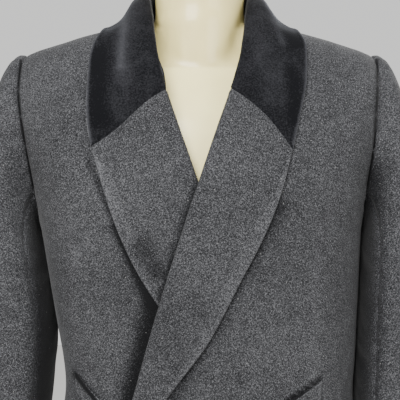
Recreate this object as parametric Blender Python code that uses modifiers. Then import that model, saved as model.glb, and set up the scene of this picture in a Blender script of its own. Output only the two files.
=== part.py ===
"""A double-breasted chesterfield coat with a velvet collar, worn by a limbless dress form.

Metres, +Z up. The coat faces -Y and +X is the wearer's left. The origin is the middle of the
stand's underside, on the floor.
"""

import math
from bisect import bisect_right
from collections import namedtuple

import bmesh
import bpy
from mathutils import Matrix, Vector
from mathutils.bvhtree import BVHTree

# Cloth walls and the gaps between the pieces
WOOL = 0.0020
VELVET = 0.0013
UNDER_COLLAR_WALL = 0.0012
UNDER_COLLAR_RIM = 0.0010
SEAM_GAP = 0.0003
HALF_SEAM = SEAM_GAP / 2
BORDER = 0.003

# Heights of the coat on the form
HEM_Z = 0.420
BREAK_Z = 0.912
ARMPIT_Z = 1.195
SHOULDER_POINT_Z = 1.4202
NECK_POINT_Z = 1.464

# The under front lies this far inside the upper one where they lap
LAP_DEPTH = 0.0095
LAP_FULL_X = -0.090
LAP_NONE_X = -0.175
LAP_FULL_Z = 1.290
LAP_NONE_Z = 1.400

# The roll where lapels and collar turn over
ROLL_RADIUS = 0.00425
ROLL_HEIGHT = 0.00225
STAND_INSET = 0.0021
FRONT_INSET = 0.0006
LAPEL_LIFT = 0.0036
LAPEL_BELLY = 0.0052
COLLAR_LIFT = 0.0041
GORGE_BOW = {-1: 0.0012, 1: 0.0090}
GORGE_WAVE = {-1: 0.0036, 1: 0.0}
GORGE_GAP = 0.00055
GORGE_CLEAR = 0.003
NECK_AXIS_Y = 0.010

# Armholes, seen from the side, and where the two seams of a sleeve meet them
ARMHOLE_FRONT = 0.064
ARMHOLE_BACK = 0.072
ARMHOLE_Y = 0.002
FOREARM_SEAM = 130
HINDARM_SEAM = 250
SLEEVE_ROPE = 0.0012

# Pocket welts
WELT_WIDTH = 0.026
WELT_LIFT = 0.0028
LYING_GAP = 0.0006
COLLAR_LYING_GAP = 0.0022

# Buttons
BUTTON_RADIUS = 0.0145
BUTTON_THICKNESS = 0.0045
BUTTON_RIM = 0.0030
BUTTON_DISH = 0.0012
BUTTON_X = 0.073
BUTTON_Z = (0.886, 0.766)

# Stand under the form
BASE_RADIUS = 0.165
BASE_THICKNESS = 0.010
POLE_RADIUS = 0.0160

Section = namedtuple("Section", "z half_width front back centre_x centre_y squareness")
COAT = (
    Section(0.420, 0.2640, 0.178, 0.190, 0.006, 0.000, 2.10),
    Section(0.600, 0.2390, 0.160, 0.170, 0.008, 0.000, 2.15),
    Section(0.800, 0.2150, 0.141, 0.149, 0.010, 0.000, 2.20),
    Section(0.860, 0.2105, 0.137, 0.144, 0.011, 0.000, 2.20),
    Section(0.920, 0.2010, 0.131, 0.133, 0.012, 0.000, 2.25),
    Section(0.975, 0.1885, 0.124, 0.118, 0.0135, 0.000, 2.30),
    Section(1.020, 0.1915, 0.125, 0.117, 0.0135, 0.000, 2.35),
    Section(1.060, 0.1955, 0.129, 0.121, 0.011, 0.000, 2.40),
    Section(1.150, 0.2050, 0.137, 0.130, 0.0055, 0.000, 2.45),
    Section(1.195, 0.2100, 0.140, 0.134, 0.003, 0.001, 2.50),
    Section(1.230, 0.2160, 0.141, 0.137, 0.002, 0.002, 2.55),
    Section(1.300, 0.2340, 0.134, 0.139, 0.001, 0.003, 2.60),
    Section(1.360, 0.2440, 0.119, 0.134, 0.000, 0.004, 2.60),
    Section(1.400, 0.2420, 0.102, 0.120, 0.000, 0.004, 2.30),
    Section(1.4202, 0.2274, 0.091, 0.108, 0.000, 0.004, 2.05),
    Section(1.4279, 0.2088, 0.086, 0.103, 0.000, 0.004, 2.00),
    Section(1.4405, 0.1716, 0.079, 0.097, 0.000, 0.004, 2.00),
    Section(1.4459, 0.1490, 0.076, 0.094, 0.000, 0.004, 2.00),
    Section(1.4514, 0.1290, 0.073, 0.091, 0.000, 0.004, 2.00),
    Section(1.4640, 0.0800, 0.065, 0.076, 0.000, 0.004, 2.00),
)

FORM = (
    Section(0.760, 0.1560, 0.098, 0.102, 0.006, 0.000, 2.20),
    Section(0.768, 0.1630, 0.105, 0.110, 0.006, 0.000, 2.20),
    Section(0.820, 0.1680, 0.110, 0.116, 0.007, 0.000, 2.20),
    Section(0.900, 0.1600, 0.104, 0.104, 0.008, 0.000, 2.20),
    Section(0.980, 0.1440, 0.098, 0.090, 0.009, 0.000, 2.20),
    Section(1.060, 0.1480, 0.104, 0.094, 0.008, 0.000, 2.20),
    Section(1.150, 0.1620, 0.116, 0.108, 0.004, 0.000, 2.20),
    Section(1.230, 0.1760, 0.119, 0.118, 0.002, 0.002, 2.25),
    Section(1.300, 0.1870, 0.109, 0.122, 0.001, 0.004, 2.30),
    Section(1.345, 0.1940, 0.094, 0.119, 0.000, 0.006, 2.30),
    Section(1.380, 0.1945, 0.076, 0.110, 0.000, 0.006, 2.20),
    Section(1.4000, 0.1915, 0.060, 0.103, 0.000, 0.006, 2.15),
    Section(1.4120, 0.1865, 0.048, 0.096, 0.000, 0.006, 2.05),
    Section(1.4270, 0.1765, 0.040, 0.086, 0.000, 0.006, 2.00),
    Section(1.4378, 0.1680, 0.036, 0.078, 0.000, 0.006, 2.00),
    Section(1.4434, 0.1480, 0.034, 0.074, 0.000, 0.006, 2.00),
    Section(1.4488, 0.1280, 0.033, 0.070, 0.000, 0.006, 2.00),
    Section(1.4539, 0.0980, 0.032, 0.065, 0.000, 0.006, 2.00),
    Section(1.4568, 0.0780, 0.032, 0.060, 0.000, 0.006, 2.00),
    Section(1.4630, 0.0620, 0.032, 0.052, 0.000, 0.006, 2.00),
    Section(1.4740, 0.0540, 0.032, 0.050, 0.001, 0.008, 2.00),
    Section(1.5000, 0.0500, 0.032, 0.048, 0.001, 0.008, 2.00),
    Section(1.5520, 0.0500, 0.032, 0.048, 0.001, 0.008, 2.00),
    Section(1.5600, 0.0460, 0.030, 0.045, 0.001, 0.008, 2.00),
)

# The neck, which stands out of the shoulders: they blend where the two meet
NECK_FOOT_Z = 1.375
NECK_ROUND_Z = 1.548
NECK_TOP_ROUNDING = 0.08
NECK_HALF_WIDTH = 0.0592
NECK_FRONT = 0.064
NECK_BACK = 0.048
NECK_BLEND = 30

# Front edges, then the fold of each lapel up to the gorge: distance past the centre line
FrontEdge = namedtuple("FrontEdge", "z upper under")
FRONT_EDGES = (
    FrontEdge(0.420, -0.104, 0.104),
    FrontEdge(0.700, -0.103, 0.103),
    FrontEdge(BREAK_Z, -0.098, 0.098),
    FrontEdge(0.990, -0.0755, 0.0755),
    FrontEdge(1.095, -0.0460, 0.0460),
    FrontEdge(1.249, 0.0028, -0.0040),
    FrontEdge(1.315, 0.0255, -0.0265),
    FrontEdge(1.362, 0.0416, -0.0430),
)
GORGE_Z = FRONT_EDGES[-1].z

# The neck seam from the gorge to the shoulder seam: share is the way from the gorge to the
# centre back, and the angle is in degrees from the front
NeckSeam = namedtuple("NeckSeam", "share angle z")
FRONT_NECK = (
    NeckSeam(0.131, 28.6, 1.4000),
    NeckSeam(0.258, 38.4, 1.4300),
    NeckSeam(0.360, 49.0, 1.4500),
    NeckSeam(0.470, 66.0, 1.4610),
    NeckSeam(0.575, 87.8, 1.4640),
    NeckSeam(0.585, 90.0, 1.4640),
)
SHOULDER_SHARE = FRONT_NECK[-1].share

# Rows of the body panels. Below the armpit they are level; above it each row runs from the
# front edge, or the centre back, to a turn of the armhole.
LOW_ROWS = (0.420, 0.423, 0.500, 0.590, 0.680, 0.760, 0.820, 0.865, BREAK_Z, 0.950, 0.985)
LOW_ROWS += (1.025, 1.070, 1.115, 1.160)
ARMHOLE_TURNS = (180, 160, 140, 120, 100, 80, 60, 40, 20, 2, 0)
FRONT_ROWS = (ARMPIT_Z, 1.240, 1.285, 1.328, GORGE_Z)
BACK_ROWS = (ARMPIT_Z, 1.240, 1.285, 1.330, 1.375, 1.420, NECK_POINT_Z)
BACK_NECK_SHARES = (0.35, 0.70, 0.97, 1.0)

# Outer edge of each lapel: share is the way up the fold, from the break to the gorge
LapelEdge = namedtuple("LapelEdge", "share upper_x upper_z under_x under_z")
LAPEL_EDGES = (
    LapelEdge(0.00, -0.0870, 0.9160, 0.0860, 0.9165),
    LapelEdge(0.18, -0.0382, 0.9910, 0.0360, 0.9850),
    LapelEdge(0.36, 0.0120, 1.0600, -0.0180, 1.0580),
    LapelEdge(0.54, 0.0467, 1.1270, -0.0667, 1.1268),
    LapelEdge(0.72, 0.0790, 1.1900, -0.0990, 1.1900),
    LapelEdge(0.88, 0.0985, 1.2400, -0.1180, 1.2480),
    LapelEdge(1.00, 0.1120, 1.2905, -0.1312, 1.2950),
)

# The collar from the gorge, share 0, to the centre back, share 1. The fold is its rolled top.
CollarRow = namedtuple("CollarRow", "share fold_x fold_y fold_z edge_right edge_left edge_y edge_z")
COLLAR = (
    CollarRow(0.131, 0.0546, -0.0900, 1.408, 0.1363, 0.1225, -0.116, 1.335),
    CollarRow(0.258, 0.0590, -0.0660, 1.440, 0.1371, 0.1310, -0.103, 1.372),
    CollarRow(0.360, 0.0620, -0.0450, 1.465, 0.1366, 0.1337, -0.090, 1.398),
    CollarRow(0.450, 0.0655, -0.0220, 1.485, 0.1330, 0.1343, -0.068, 1.424),
    CollarRow(0.520, 0.0680, -0.0060, 1.496, 0.1265, 0.1295, -0.048, 1.441),
    CollarRow(0.585, 0.0690, 0.0080, 1.503, 0.1225, 0.1250, 0.002, 1.4565),
    CollarRow(0.720, 0.0640, 0.0400, 1.513, 0.1110, 0.1120, 0.050, 1.455),
    CollarRow(0.860, 0.0400, 0.0670, 1.520, 0.0770, 0.0770, 0.088, 1.450),
    CollarRow(1.000, 0.0000, 0.0790, 1.523, 0.0000, 0.0000, 0.104, 1.447),
)
FALL_ROUND = 0.0050
FALL_HOLLOW = 0.0040

# Sleeve rings below the armpit: inner is the side beside the body
SleeveRing = namedtuple("SleeveRing", "z inner_right inner_left width front_y back_y")
SLEEVE = (
    SleeveRing(1.172, 0.2070, 0.2150, 0.0830, -0.086, 0.082),
    SleeveRing(1.120, 0.1968, 0.2120, 0.0920, -0.085, 0.080),
    SleeveRing(1.060, 0.1880, 0.2095, 0.0960, -0.083, 0.077),
    SleeveRing(1.010, 0.1925, 0.2080, 0.0930, -0.082, 0.073),
    SleeveRing(0.965, 0.1960, 0.2080, 0.0910, -0.083, 0.068),
    SleeveRing(0.900, 0.2040, 0.2200, 0.0870, -0.087, 0.061),
    SleeveRing(0.840, 0.2090, 0.2265, 0.0830, -0.091, 0.054),
    SleeveRing(0.785, 0.2130, 0.2310, 0.0790, -0.095, 0.048),
)
SLEEVE_SQUARENESS = 2.6

# Rows of a sleeve: shares of the way down its cap, and then heights
CAP_ROWS = (0.0, 0.02, 0.08, 0.18, 0.32, 0.50, 0.70, 0.88)
ARM_ROWS = (1.172, 1.130, 1.085, 1.045, 1.005, 0.965, 0.915, 0.860, 0.810, 0.788, 0.785)

# Pocket welts: the top edge of each, from its inner low end to its outer high end
Welt = namedtuple("Welt", "side inner_angle inner_z outer_angle outer_z")
WELTS = (
    Welt(-1, 37.0, 0.930, 68.0, 1.0145),
    Welt(1, 18.0, 0.955, 55.0, 1.0075),
)

COLOURS = {
    "charcoal_wool": ((0.095, 0.097, 0.102), 0.95),
    "black_velvet": ((0.018, 0.019, 0.021), 0.85),
    "cream_form": ((0.80, 0.76, 0.62), 0.30),
    "black_horn": ((0.015, 0.015, 0.016), 0.35),
    "stand_steel": ((0.55, 0.55, 0.56), 0.30),
}


class SmoothCurve:
    """A smooth curve through points (xs, ys) that never overshoots them."""

    def __init__(self, xs, ys):
        self.xs = list(xs)
        self.ys = list(ys)
        steps = [
            (y1 - y0) / (x1 - x0)
            for x0, x1, y0, y1 in zip(self.xs, self.xs[1:], self.ys, self.ys[1:])
        ]
        self.slopes = [steps[0]]
        for before, after in zip(steps, steps[1:]):
            turning = before * after <= 0
            self.slopes.append(0.0 if turning else 2 * before * after / (before + after))
        self.slopes.append(steps[-1])

    def __call__(self, x):
        i = min(max(bisect_right(self.xs, x) - 1, 0), len(self.xs) - 2)
        span = self.xs[i + 1] - self.xs[i]
        t = (x - self.xs[i]) / span
        return (
            (1 + 2 * t) * (1 - t) ** 2 * self.ys[i]
            + t * (1 - t) ** 2 * span * self.slopes[i]
            + t * t * (3 - 2 * t) * self.ys[i + 1]
            + t * t * (t - 1) * span * self.slopes[i + 1]
        )


class Chain:
    """Straight lines between points, as between the corners of a panel's edge."""

    def __init__(self, shares, points):
        self.shares = list(shares)
        self.points = list(points)

    def __call__(self, share):
        i = min(max(bisect_right(self.shares, share) - 1, 0), len(self.shares) - 2)
        t = (share - self.shares[i]) / (self.shares[i + 1] - self.shares[i])
        return self.points[i].lerp(self.points[i + 1], t)


class Figure:
    """A surface through level sections. A point on it has an angle round the figure, 0 at the
    front and +90 degrees at the wearer's left, and a rise, the way up the side from the hem."""

    def __init__(self, sections):
        self.rises = [0.0]
        for low, high in zip(sections, sections[1:]):
            step = math.hypot(high.z - low.z, high.half_width - low.half_width)
            self.rises.append(self.rises[-1] + step)
        self.columns = [SmoothCurve(self.rises, column) for column in zip(*sections)]
        self.rise_at = SmoothCurve([s.z for s in sections], self.rises)
        self.top = self.rises[-1]

    def section(self, rise):
        return Section(*(column(rise) for column in self.columns))

    def reach(self, s, across, ahead):
        """How far the surface is from the section's centre, in that direction."""
        depth = s.front if ahead > 0 else s.back
        return (
            abs(across / s.half_width) ** s.squareness + abs(ahead / depth) ** s.squareness
        ) ** (-1 / s.squareness)

    def at(self, angle, rise):
        s = self.section(rise)
        across, ahead = math.sin(angle), math.cos(angle)
        reach = self.reach(s, across, ahead)
        return Vector((s.centre_x + reach * across, s.centre_y - reach * ahead, s.z))

    def normal(self, angle, rise):
        step = 1e-3
        low, high = max(rise - step, 0.0), min(rise + step, self.top)
        round_it = self.at(angle + step, rise) - self.at(angle - step, rise)
        up_it = self.at(angle, high) - self.at(angle, low)
        return round_it.cross(up_it).normalized()

    def angle_of_x(self, x, rise):
        """The angle of the front point that lies at x."""
        s = self.section(rise)
        share = min(abs(x - s.centre_x) / s.half_width, 1.0)
        ahead = s.front * (1 - share**s.squareness) ** (1 / s.squareness)
        return math.atan2(x - s.centre_x, ahead)

    def angle_of_y(self, side, y, rise):
        """The angle of the point on that side that lies at y."""
        s = self.section(rise)
        depth = s.front if y < s.centre_y else s.back
        share = min(abs(y - s.centre_y) / depth, 1.0)
        across = s.half_width * (1 - share**s.squareness) ** (1 / s.squareness)
        return side * math.atan2(across, s.centre_y - y)


def smoothstep(low, high, value):
    t = min(max((value - low) / (high - low), 0.0), 1.0)
    return t * t * (3 - 2 * t)


class NeckedFigure(Figure):
    """A figure whose upper sections give the shoulders alone: a round neck stands out of them."""

    def reach(self, s, across, ahead):
        shoulders = super().reach(s, across, ahead)
        if s.z < NECK_FOOT_Z:
            return shoulders
        depth = NECK_FRONT if ahead > 0 else NECK_BACK
        rounded = 1 - NECK_TOP_ROUNDING * smoothstep(NECK_ROUND_Z, FORM[-1].z, s.z)
        neck = rounded / math.hypot(across / NECK_HALF_WIDTH, ahead / depth)
        return (shoulders**NECK_BLEND + neck**NECK_BLEND) ** (1 / NECK_BLEND)


coat = Figure(COAT)
form = NeckedFigure(FORM)


def lap(side, point):
    """How far inside the coat's surface the under front lies, at a point of that surface."""
    if side > 0:
        return 0.0
    across = smoothstep(LAP_NONE_X, LAP_FULL_X, point.x)
    down = 1 - smoothstep(LAP_FULL_Z, LAP_NONE_Z, point.z)
    return LAP_DEPTH * across * down


def front_point(side, angle, rise, height=0.0):
    """A point over the front of that side: the upper front is on +X, the under one on -X."""
    base = coat.at(angle, rise)
    return base + coat.normal(angle, rise) * (height - lap(side, base))


def front_at(side, x, z, height=0.0):
    rise = coat.rise_at(z)
    return front_point(side, coat.angle_of_x(x, rise), rise, height)


def front_normal(x, z):
    rise = coat.rise_at(z)
    return coat.normal(coat.angle_of_x(x, rise), rise)


# Seam lines, each as an angle and a rise on the coat's surface


def armhole(side, degrees):
    """Point of the armhole seam: turn 0 is the shoulder point and a quarter turn the front."""
    turn = math.radians(degrees)
    depth = ARMHOLE_FRONT if math.sin(turn) > 0 else ARMHOLE_BACK
    middle = (SHOULDER_POINT_Z + ARMPIT_Z) / 2
    half = (SHOULDER_POINT_Z - ARMPIT_Z) / 2
    rise = coat.rise_at(middle + half * math.cos(turn))
    section = coat.section(rise)
    y = section.centre_y - depth * math.sin(turn)
    return coat.angle_of_y(side, y, rise), rise


def fold_curve(side):
    """The front edge and then the fold of the lapel: x as a curve of z."""
    column = "upper" if side > 0 else "under"
    return SmoothCurve([e.z for e in FRONT_EDGES], [getattr(e, column) for e in FRONT_EDGES])


FOLD_X = {side: fold_curve(side) for side in (-1, 1)}


def spread(count, length):
    """Shares from 0 to 1, with a narrow border at each end of a stretch of that length."""
    border = min(BORDER / length, 0.3 / count)
    inner = [border + (1 - 2 * border) * i / count for i in range(count + 1)]
    return [0.0] + inner + [1.0]


def patch(left, right, bottom, top):
    """Fills the space between four edges. Left and right hold a point for each row, and
    bottom and top are functions of the share across."""
    last = len(left) - 1

    def surface(s, row):
        t = row / last
        sides = [a * (1 - s) + b * s for a, b in zip(left[row], right[row])]
        ends = [a * (1 - t) + b * t for a, b in zip(bottom(s), top(s))]
        corners = [
            (a * (1 - s) + b * s) * (1 - t) + (c * (1 - s) + d * s) * t
            for a, b, c, d in zip(left[0], right[0], left[-1], right[-1])
        ]
        return [a + b - c for a, b, c in zip(sides, ends, corners)]

    return surface


def side_edge(side, facing):
    """The side seam and then the armhole, row by row. Facing is 1 for a front, -1 for a back."""
    points = []
    for z in LOW_ROWS:
        rise = coat.rise_at(z)
        shift = facing * HALF_SEAM / coat.section(rise).half_width
        points.append((side * (math.pi / 2 - shift), rise))
    for turn in ARMHOLE_TURNS:
        angle, rise = armhole(side, turn * facing)
        at_seam = turn in (0, 180)
        shift = facing * HALF_SEAM / coat.section(rise).half_width if at_seam else 0.0
        points.append((angle - side * shift, rise))
    return points


def front_edge(side):
    """The front edge, the fold and the neck seam, row by row."""
    points = []
    for z in LOW_ROWS + FRONT_ROWS:
        rise = coat.rise_at(z)
        angle = coat.angle_of_x(FOLD_X[side](z), rise)
        points.append((angle + side * FRONT_INSET / coat.section(rise).front, rise))
    for seam in FRONT_NECK[:-1]:
        points.append((side * math.radians(seam.angle), coat.rise_at(seam.z)))
    return points + [shoulder_edge(side, 1)(0.0)]


def centre_back_edge(side):
    """The centre back seam and then the back of the neck, row by row."""
    points = []
    for z in LOW_ROWS + BACK_ROWS:
        rise = coat.rise_at(z)
        points.append((side * (math.pi - HALF_SEAM / coat.section(rise).back), rise))
    for share in BACK_NECK_SHARES[:-1]:
        points.append((side * (math.pi - share * math.pi / 2), coat.top))
    return points + [shoulder_edge(side, -1)(0.0)]


def shoulder_edge(side, facing):
    """From the neck point out to the shoulder point, along the top of the shoulder."""
    end = coat.rise_at(SHOULDER_POINT_Z)

    def edge(share):
        rise = coat.top + (end - coat.top) * share
        shift = facing * HALF_SEAM / coat.section(rise).half_width
        return side * (math.pi / 2 - shift), rise

    return edge


def hem_edge(start, end):
    return lambda share: (start + (end - start) * share, 0.0)


def clear_scene():
    for thing in list(bpy.data.objects):
        bpy.data.objects.remove(thing)


def material(name):
    colour, roughness = COLOURS[name]
    made = bpy.data.materials.new(name)
    made.use_nodes = True
    shader = made.node_tree.nodes["Principled BSDF"]
    shader.inputs["Base Color"].default_value = (*colour, 1.0)
    shader.inputs["Roughness"].default_value = roughness
    shader.inputs["Metallic"].default_value = 1.0 if name == "stand_steel" else 0.0
    made.diffuse_color = (*colour, 1.0)
    return made


def add_object(name, mesh, finish):
    made = bpy.data.objects.new(name, mesh)
    made.data.materials.append(finish)
    collection.objects.link(made)
    return made


def laid_grid(surface, across, along, turned):
    """A grid of faces with its points moved onto surface(across, along), in a bmesh."""
    grid = bmesh.new()
    bmesh.ops.create_grid(
        grid, x_segments=len(across) - 1, y_segments=len(along) - 1, size=0.5
    )
    for vert in grid.verts:
        column = round((vert.co.x + 0.5) * (len(across) - 1))
        row = round((vert.co.y + 0.5) * (len(along) - 1))
        vert.co = surface(across[column], along[row])
    if turned:
        bmesh.ops.reverse_faces(grid, faces=grid.faces)
    bmesh.ops.triangulate(grid, faces=grid.faces, quad_method="SHORT_EDGE")
    return grid


def cloth(name, surface, across, along, wall, finish, turned=False):
    """A wall of cloth whose outer side lies on surface(s, t)."""
    grid = laid_grid(surface, across, along, turned)
    mesh = bpy.data.meshes.new(name)
    grid.to_mesh(mesh)
    grid.free()
    mesh.shade_smooth()
    made = add_object(name, mesh, finish)
    thicken = made.modifiers.new("wall", "SOLIDIFY")
    thicken.thickness = wall
    thicken.offset = -1.0
    return made


# Body panels


def make_front(side, name, finish):
    left = front_edge(side)
    right = side_edge(side, 1)
    fill = patch(left, right, hem_edge(left[0][0], right[0][0]), shoulder_edge(side, 1))

    def surface(s, row):
        return front_point(side, *fill(s, row))

    rows = range(len(left))
    return cloth(name, surface, spread(11, 0.30), rows, WOOL, finish, turned=side < 0)


def make_back(side, name, finish):
    left = centre_back_edge(side)
    right = side_edge(side, -1)
    fill = patch(left, right, hem_edge(left[0][0], right[0][0]), shoulder_edge(side, -1))

    def surface(s, row):
        return coat.at(*fill(s, row))

    rows = range(len(left))
    return cloth(name, surface, spread(8, 0.24), rows, WOOL, finish, turned=side > 0)


# Lapels and collar, which share one rolled profile


def through(points, share):
    """A point on the smooth curve through the points. The first and last only guide it."""
    place = share * (len(points) - 3)
    i = min(int(place), len(points) - 4)
    around = points[i : i + 4]
    knots = [0.0]
    for a, b in zip(around, around[1:]):
        knots.append(knots[-1] + math.sqrt((b - a).length))
    at = knots[1] + (place - i) * (knots[2] - knots[1])
    first = [
        a.lerp(b, (at - low) / (high - low))
        for a, b, low, high in zip(around, around[1:], knots, knots[1:])
    ]
    second = [
        a.lerp(b, (at - low) / (high - low))
        for a, b, low, high in zip(first, first[1:], knots, knots[2:])
    ]
    return second[0].lerp(second[1], (at - knots[1]) / (knots[2] - knots[1]))


def roll(centre, inward, up):
    """Six points round a fold: outer low as a guide, low, inner low, inner, inner high, top."""
    ways = (-inward - up, -up, inward - up, inward, inward + up, up)
    return [centre + way.normalized() * ROLL_RADIUS for way in ways]


def edge_curves(side):
    column = "upper" if side > 0 else "under"
    shares = [row.share for row in LAPEL_EDGES]
    return [
        SmoothCurve(shares, [getattr(row, column + axis) for row in LAPEL_EDGES])
        for axis in ("_x", "_z")
    ]


LAPEL_OUTLINE = {side: edge_curves(side) for side in (-1, 1)}


def lapel_profile(side, share):
    """Points from the panel's edge, round the fold and over to the lapel's outer edge."""
    fold_z = BREAK_Z + (GORGE_Z - BREAK_Z) * share
    start = (FOLD_X[side](fold_z), fold_z)
    end = [curve(share) for curve in LAPEL_OUTLINE[side]]
    near_gorge = share**8
    lift = LAPEL_LIFT + (COLLAR_LIFT - LAPEL_LIFT) * share**4

    def over(v, height):
        x = start[0] + (end[0] - start[0]) * v
        bow = GORGE_BOW[side] * math.sin(math.pi * v) + GORGE_WAVE[side] * math.sin(2 * math.pi * v)
        z = start[1] + (end[1] - start[1]) * v + bow * near_gorge
        return front_at(side, x, z, height)

    up = front_normal(*start)
    outward = over(0.2, 0) - over(0, 0)
    inward = (up * outward.dot(up) - outward).normalized()
    rolled = roll(over(0, ROLL_HEIGHT), inward, up)
    flat = [over(1 / 3, LAPEL_BELLY), over(2 / 3, LAPEL_BELLY), over(1, lift)]
    return rolled + flat + [flat[-1] * 2 - flat[-2]]


def neck_seam(side):
    """The inner side of the panels along the neck seam, from the gorge to the centre back."""
    gorge_rise = coat.rise_at(GORGE_Z)
    gorge = (coat.angle_of_x(FOLD_X[side](GORGE_Z), gorge_rise), gorge_rise)
    back = [(side * (math.pi - share * math.pi / 2), coat.top) for share in BACK_NECK_SHARES]
    front = [(side * math.radians(s.angle), coat.rise_at(s.z)) for s in FRONT_NECK]
    places = [gorge] + front + list(reversed(back[:-1])) + [(side * math.pi, coat.top)]
    shares = [0.0] + [s.share for s in FRONT_NECK]
    shares += [1 - share * (1 - SHOULDER_SHARE) for share in reversed(BACK_NECK_SHARES[:-1])]
    points = [front_point(side, angle, rise, -WOOL) for angle, rise in places]
    return Chain(shares + [1.0], points)


def collar_curve(side, fold_start, edge_start):
    """Fold centre and outer edge of the collar, as curves of the share."""
    edge_x = "edge_left" if side > 0 else "edge_right"
    shares = [0.0] + [row.share for row in COLLAR]
    signs = (side, 1, 1)
    curves = []
    for start, columns in (
        (fold_start, ("fold_x", "fold_y", "fold_z")),
        (edge_start, (edge_x, "edge_y", "edge_z")),
    ):
        for first, column, sign in zip(start, columns, signs):
            values = [first] + [sign * getattr(row, column) for row in COLLAR]
            curves.append(SmoothCurve(shares, values))
    return curves


class CollarHalf:
    """Half of the collar, from the gorge of one side to the centre back."""

    def __init__(self, side):
        self.gorge = lapel_profile(side, 1.0)
        self.centre = (self.gorge[1] + self.gorge[5]) / 2
        self.curves = collar_curve(side, self.centre, self.gorge[8])
        self.seam = neck_seam(side)

    def profile(self, share):
        """The lapel's profile carried round the neck: stand, fold and fall."""
        values = [curve(share) for curve in self.curves]
        fold, edge = Vector(values[:3]), Vector(values[3:])
        grown = smoothstep(0.0, 0.35, share)
        to_neck = Vector((-fold.x, NECK_AXIS_Y - fold.y, 0)).normalized()
        inward = (self.gorge[3] - self.centre).normalized().lerp(to_neck, grown).normalized()
        up = (self.gorge[5] - self.centre).normalized().lerp(Vector((0, 0, 1)), grown)
        up = (up - inward * up.dot(inward)).normalized()
        points = roll(fold, inward, up)
        standing = smoothstep(0.0, 0.12, share)
        foot = self.seam(share) + inward * STAND_INSET * standing
        points[1] = points[1].lerp(foot, smoothstep(0.0, 0.02, share))
        points[2] = points[2].lerp((points[1] + points[3]) / 2, standing)
        points[0] = points[0].lerp(points[1] * 2 - points[2], standing)
        top = points[5]
        flat = 1 - smoothstep(0.0, 0.45, share)
        outward = (up - inward).normalized()
        for v, at_gorge, swell in (
            (1 / 3, self.gorge[6], FALL_ROUND),
            (2 / 3, self.gorge[7], -FALL_HOLLOW),
        ):
            first = self.gorge[5].lerp(self.gorge[8], v)
            points.append(top.lerp(edge, v) + outward * swell * grown + (at_gorge - first) * flat)
        return points + [edge, edge * 2 - points[-1]]


def rest_on(point, tree, clearance):
    """The point, moved out where it is nearer than that to the panels under it."""
    near, normal, _, _ = tree.find_nearest(point)
    height = (point - near).dot(normal)
    return point + normal * max(clearance - height, 0.0)


def tree_of(*panels):
    """The outer sides of these panels, to lay other cloth on."""
    points, faces = [], []
    for panel in panels:
        first = len(points)
        points += [vert.co.copy() for vert in panel.data.vertices]
        faces += [[first + i for i in face.vertices] for face in panel.data.polygons]
    return BVHTree.FromPolygons(points, faces)


# How far along a profile its points are taken, and where it is at the top of the fold
PROFILE = (0.0, 0.015, 0.08, 0.143, 0.214, 0.286, 0.357, 0.429, 0.5, 0.571, 0.68, 0.84, 0.98, 1.0)
ROLL_SHARE = 4 / 7
UNDER_PROFILE = (0.68, 0.84, 0.98, 1.0, 1.01)
COLLAR_SHARES = (0.131, 0.19, 0.258, 0.31, 0.36, 0.415, 0.47, 0.51, 0.55, 0.585)
COLLAR_SHARES += (0.63, 0.69, 0.76, 0.84, 0.92)


def make_lapel(side, name, panel, finish):
    tree = tree_of(panel)
    length = GORGE_Z - BREAK_Z
    heights = [z for z in LOW_ROWS + FRONT_ROWS if BREAK_Z < z < GORGE_Z]
    heights = [BREAK_Z, BREAK_Z + BORDER] + heights + [GORGE_Z - BORDER, GORGE_Z - GORGE_GAP]

    def surface(s, share):
        point = through(lapel_profile(side, share), s)
        if s > ROLL_SHARE:
            point = rest_on(point, tree, WOOL + LYING_GAP)
        return point

    shares = [(z - BREAK_Z) / length for z in heights]
    return cloth(name, surface, PROFILE, shares, WOOL, finish, turned=side < 0)


def make_collar(panels, velvet, wool):
    tree = tree_of(*panels)
    clearance = VELVET + SEAM_GAP + UNDER_COLLAR_WALL + COLLAR_LYING_GAP
    halves = {side: CollarHalf(side) for side in (-1, 1)}

    def point(place, t):
        """Place runs from -1 at the gorge of the wearer's right, over 0 at the back, to 1."""
        found = through(halves[1 if place > 0 else -1].profile(1 - abs(place)), t)
        return rest_on(found, tree, clearance) if t > ROLL_SHARE else found

    def under(place, t):
        """A point below the fall, or just past its edge at t above 1."""
        step = 0.004
        on = min(t, 1.0)
        inside = max(min(place, 1 - 2 * step), 2 * step - 1)
        round_it = point(inside + step, on) - point(inside - step, on)
        over_it = point(place, on) - point(place, on - step)
        up = round_it.cross(over_it).normalized()
        past = over_it.normalized() * UNDER_COLLAR_RIM if t > 1 else Vector()
        return point(place, on) + past - up * (VELVET + SEAM_GAP)

    shares = (0.0, 0.012, 0.06) + COLLAR_SHARES
    places = [share - 1 for share in shares] + [0.0] + [1 - share for share in reversed(shares)]
    cloth("top_collar", point, places, PROFILE, VELVET, velvet)
    places[0], places[-1] = GORGE_CLEAR - 1, 1 - GORGE_CLEAR
    cloth("under_collar", under, places, UNDER_PROFILE, UNDER_COLLAR_WALL, wool)


# Sleeves


def armhole_chain(side):
    """The armhole seam, straight between the corners that the panels have on it."""
    turns = [-turn for turn in ARMHOLE_TURNS[:-1]] + list(reversed(ARMHOLE_TURNS))
    return Chain(turns, [coat.at(*armhole(side, turn)) for turn in turns])


ARMHOLE_SEAM = {side: armhole_chain(side) for side in (-1, 1)}


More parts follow.
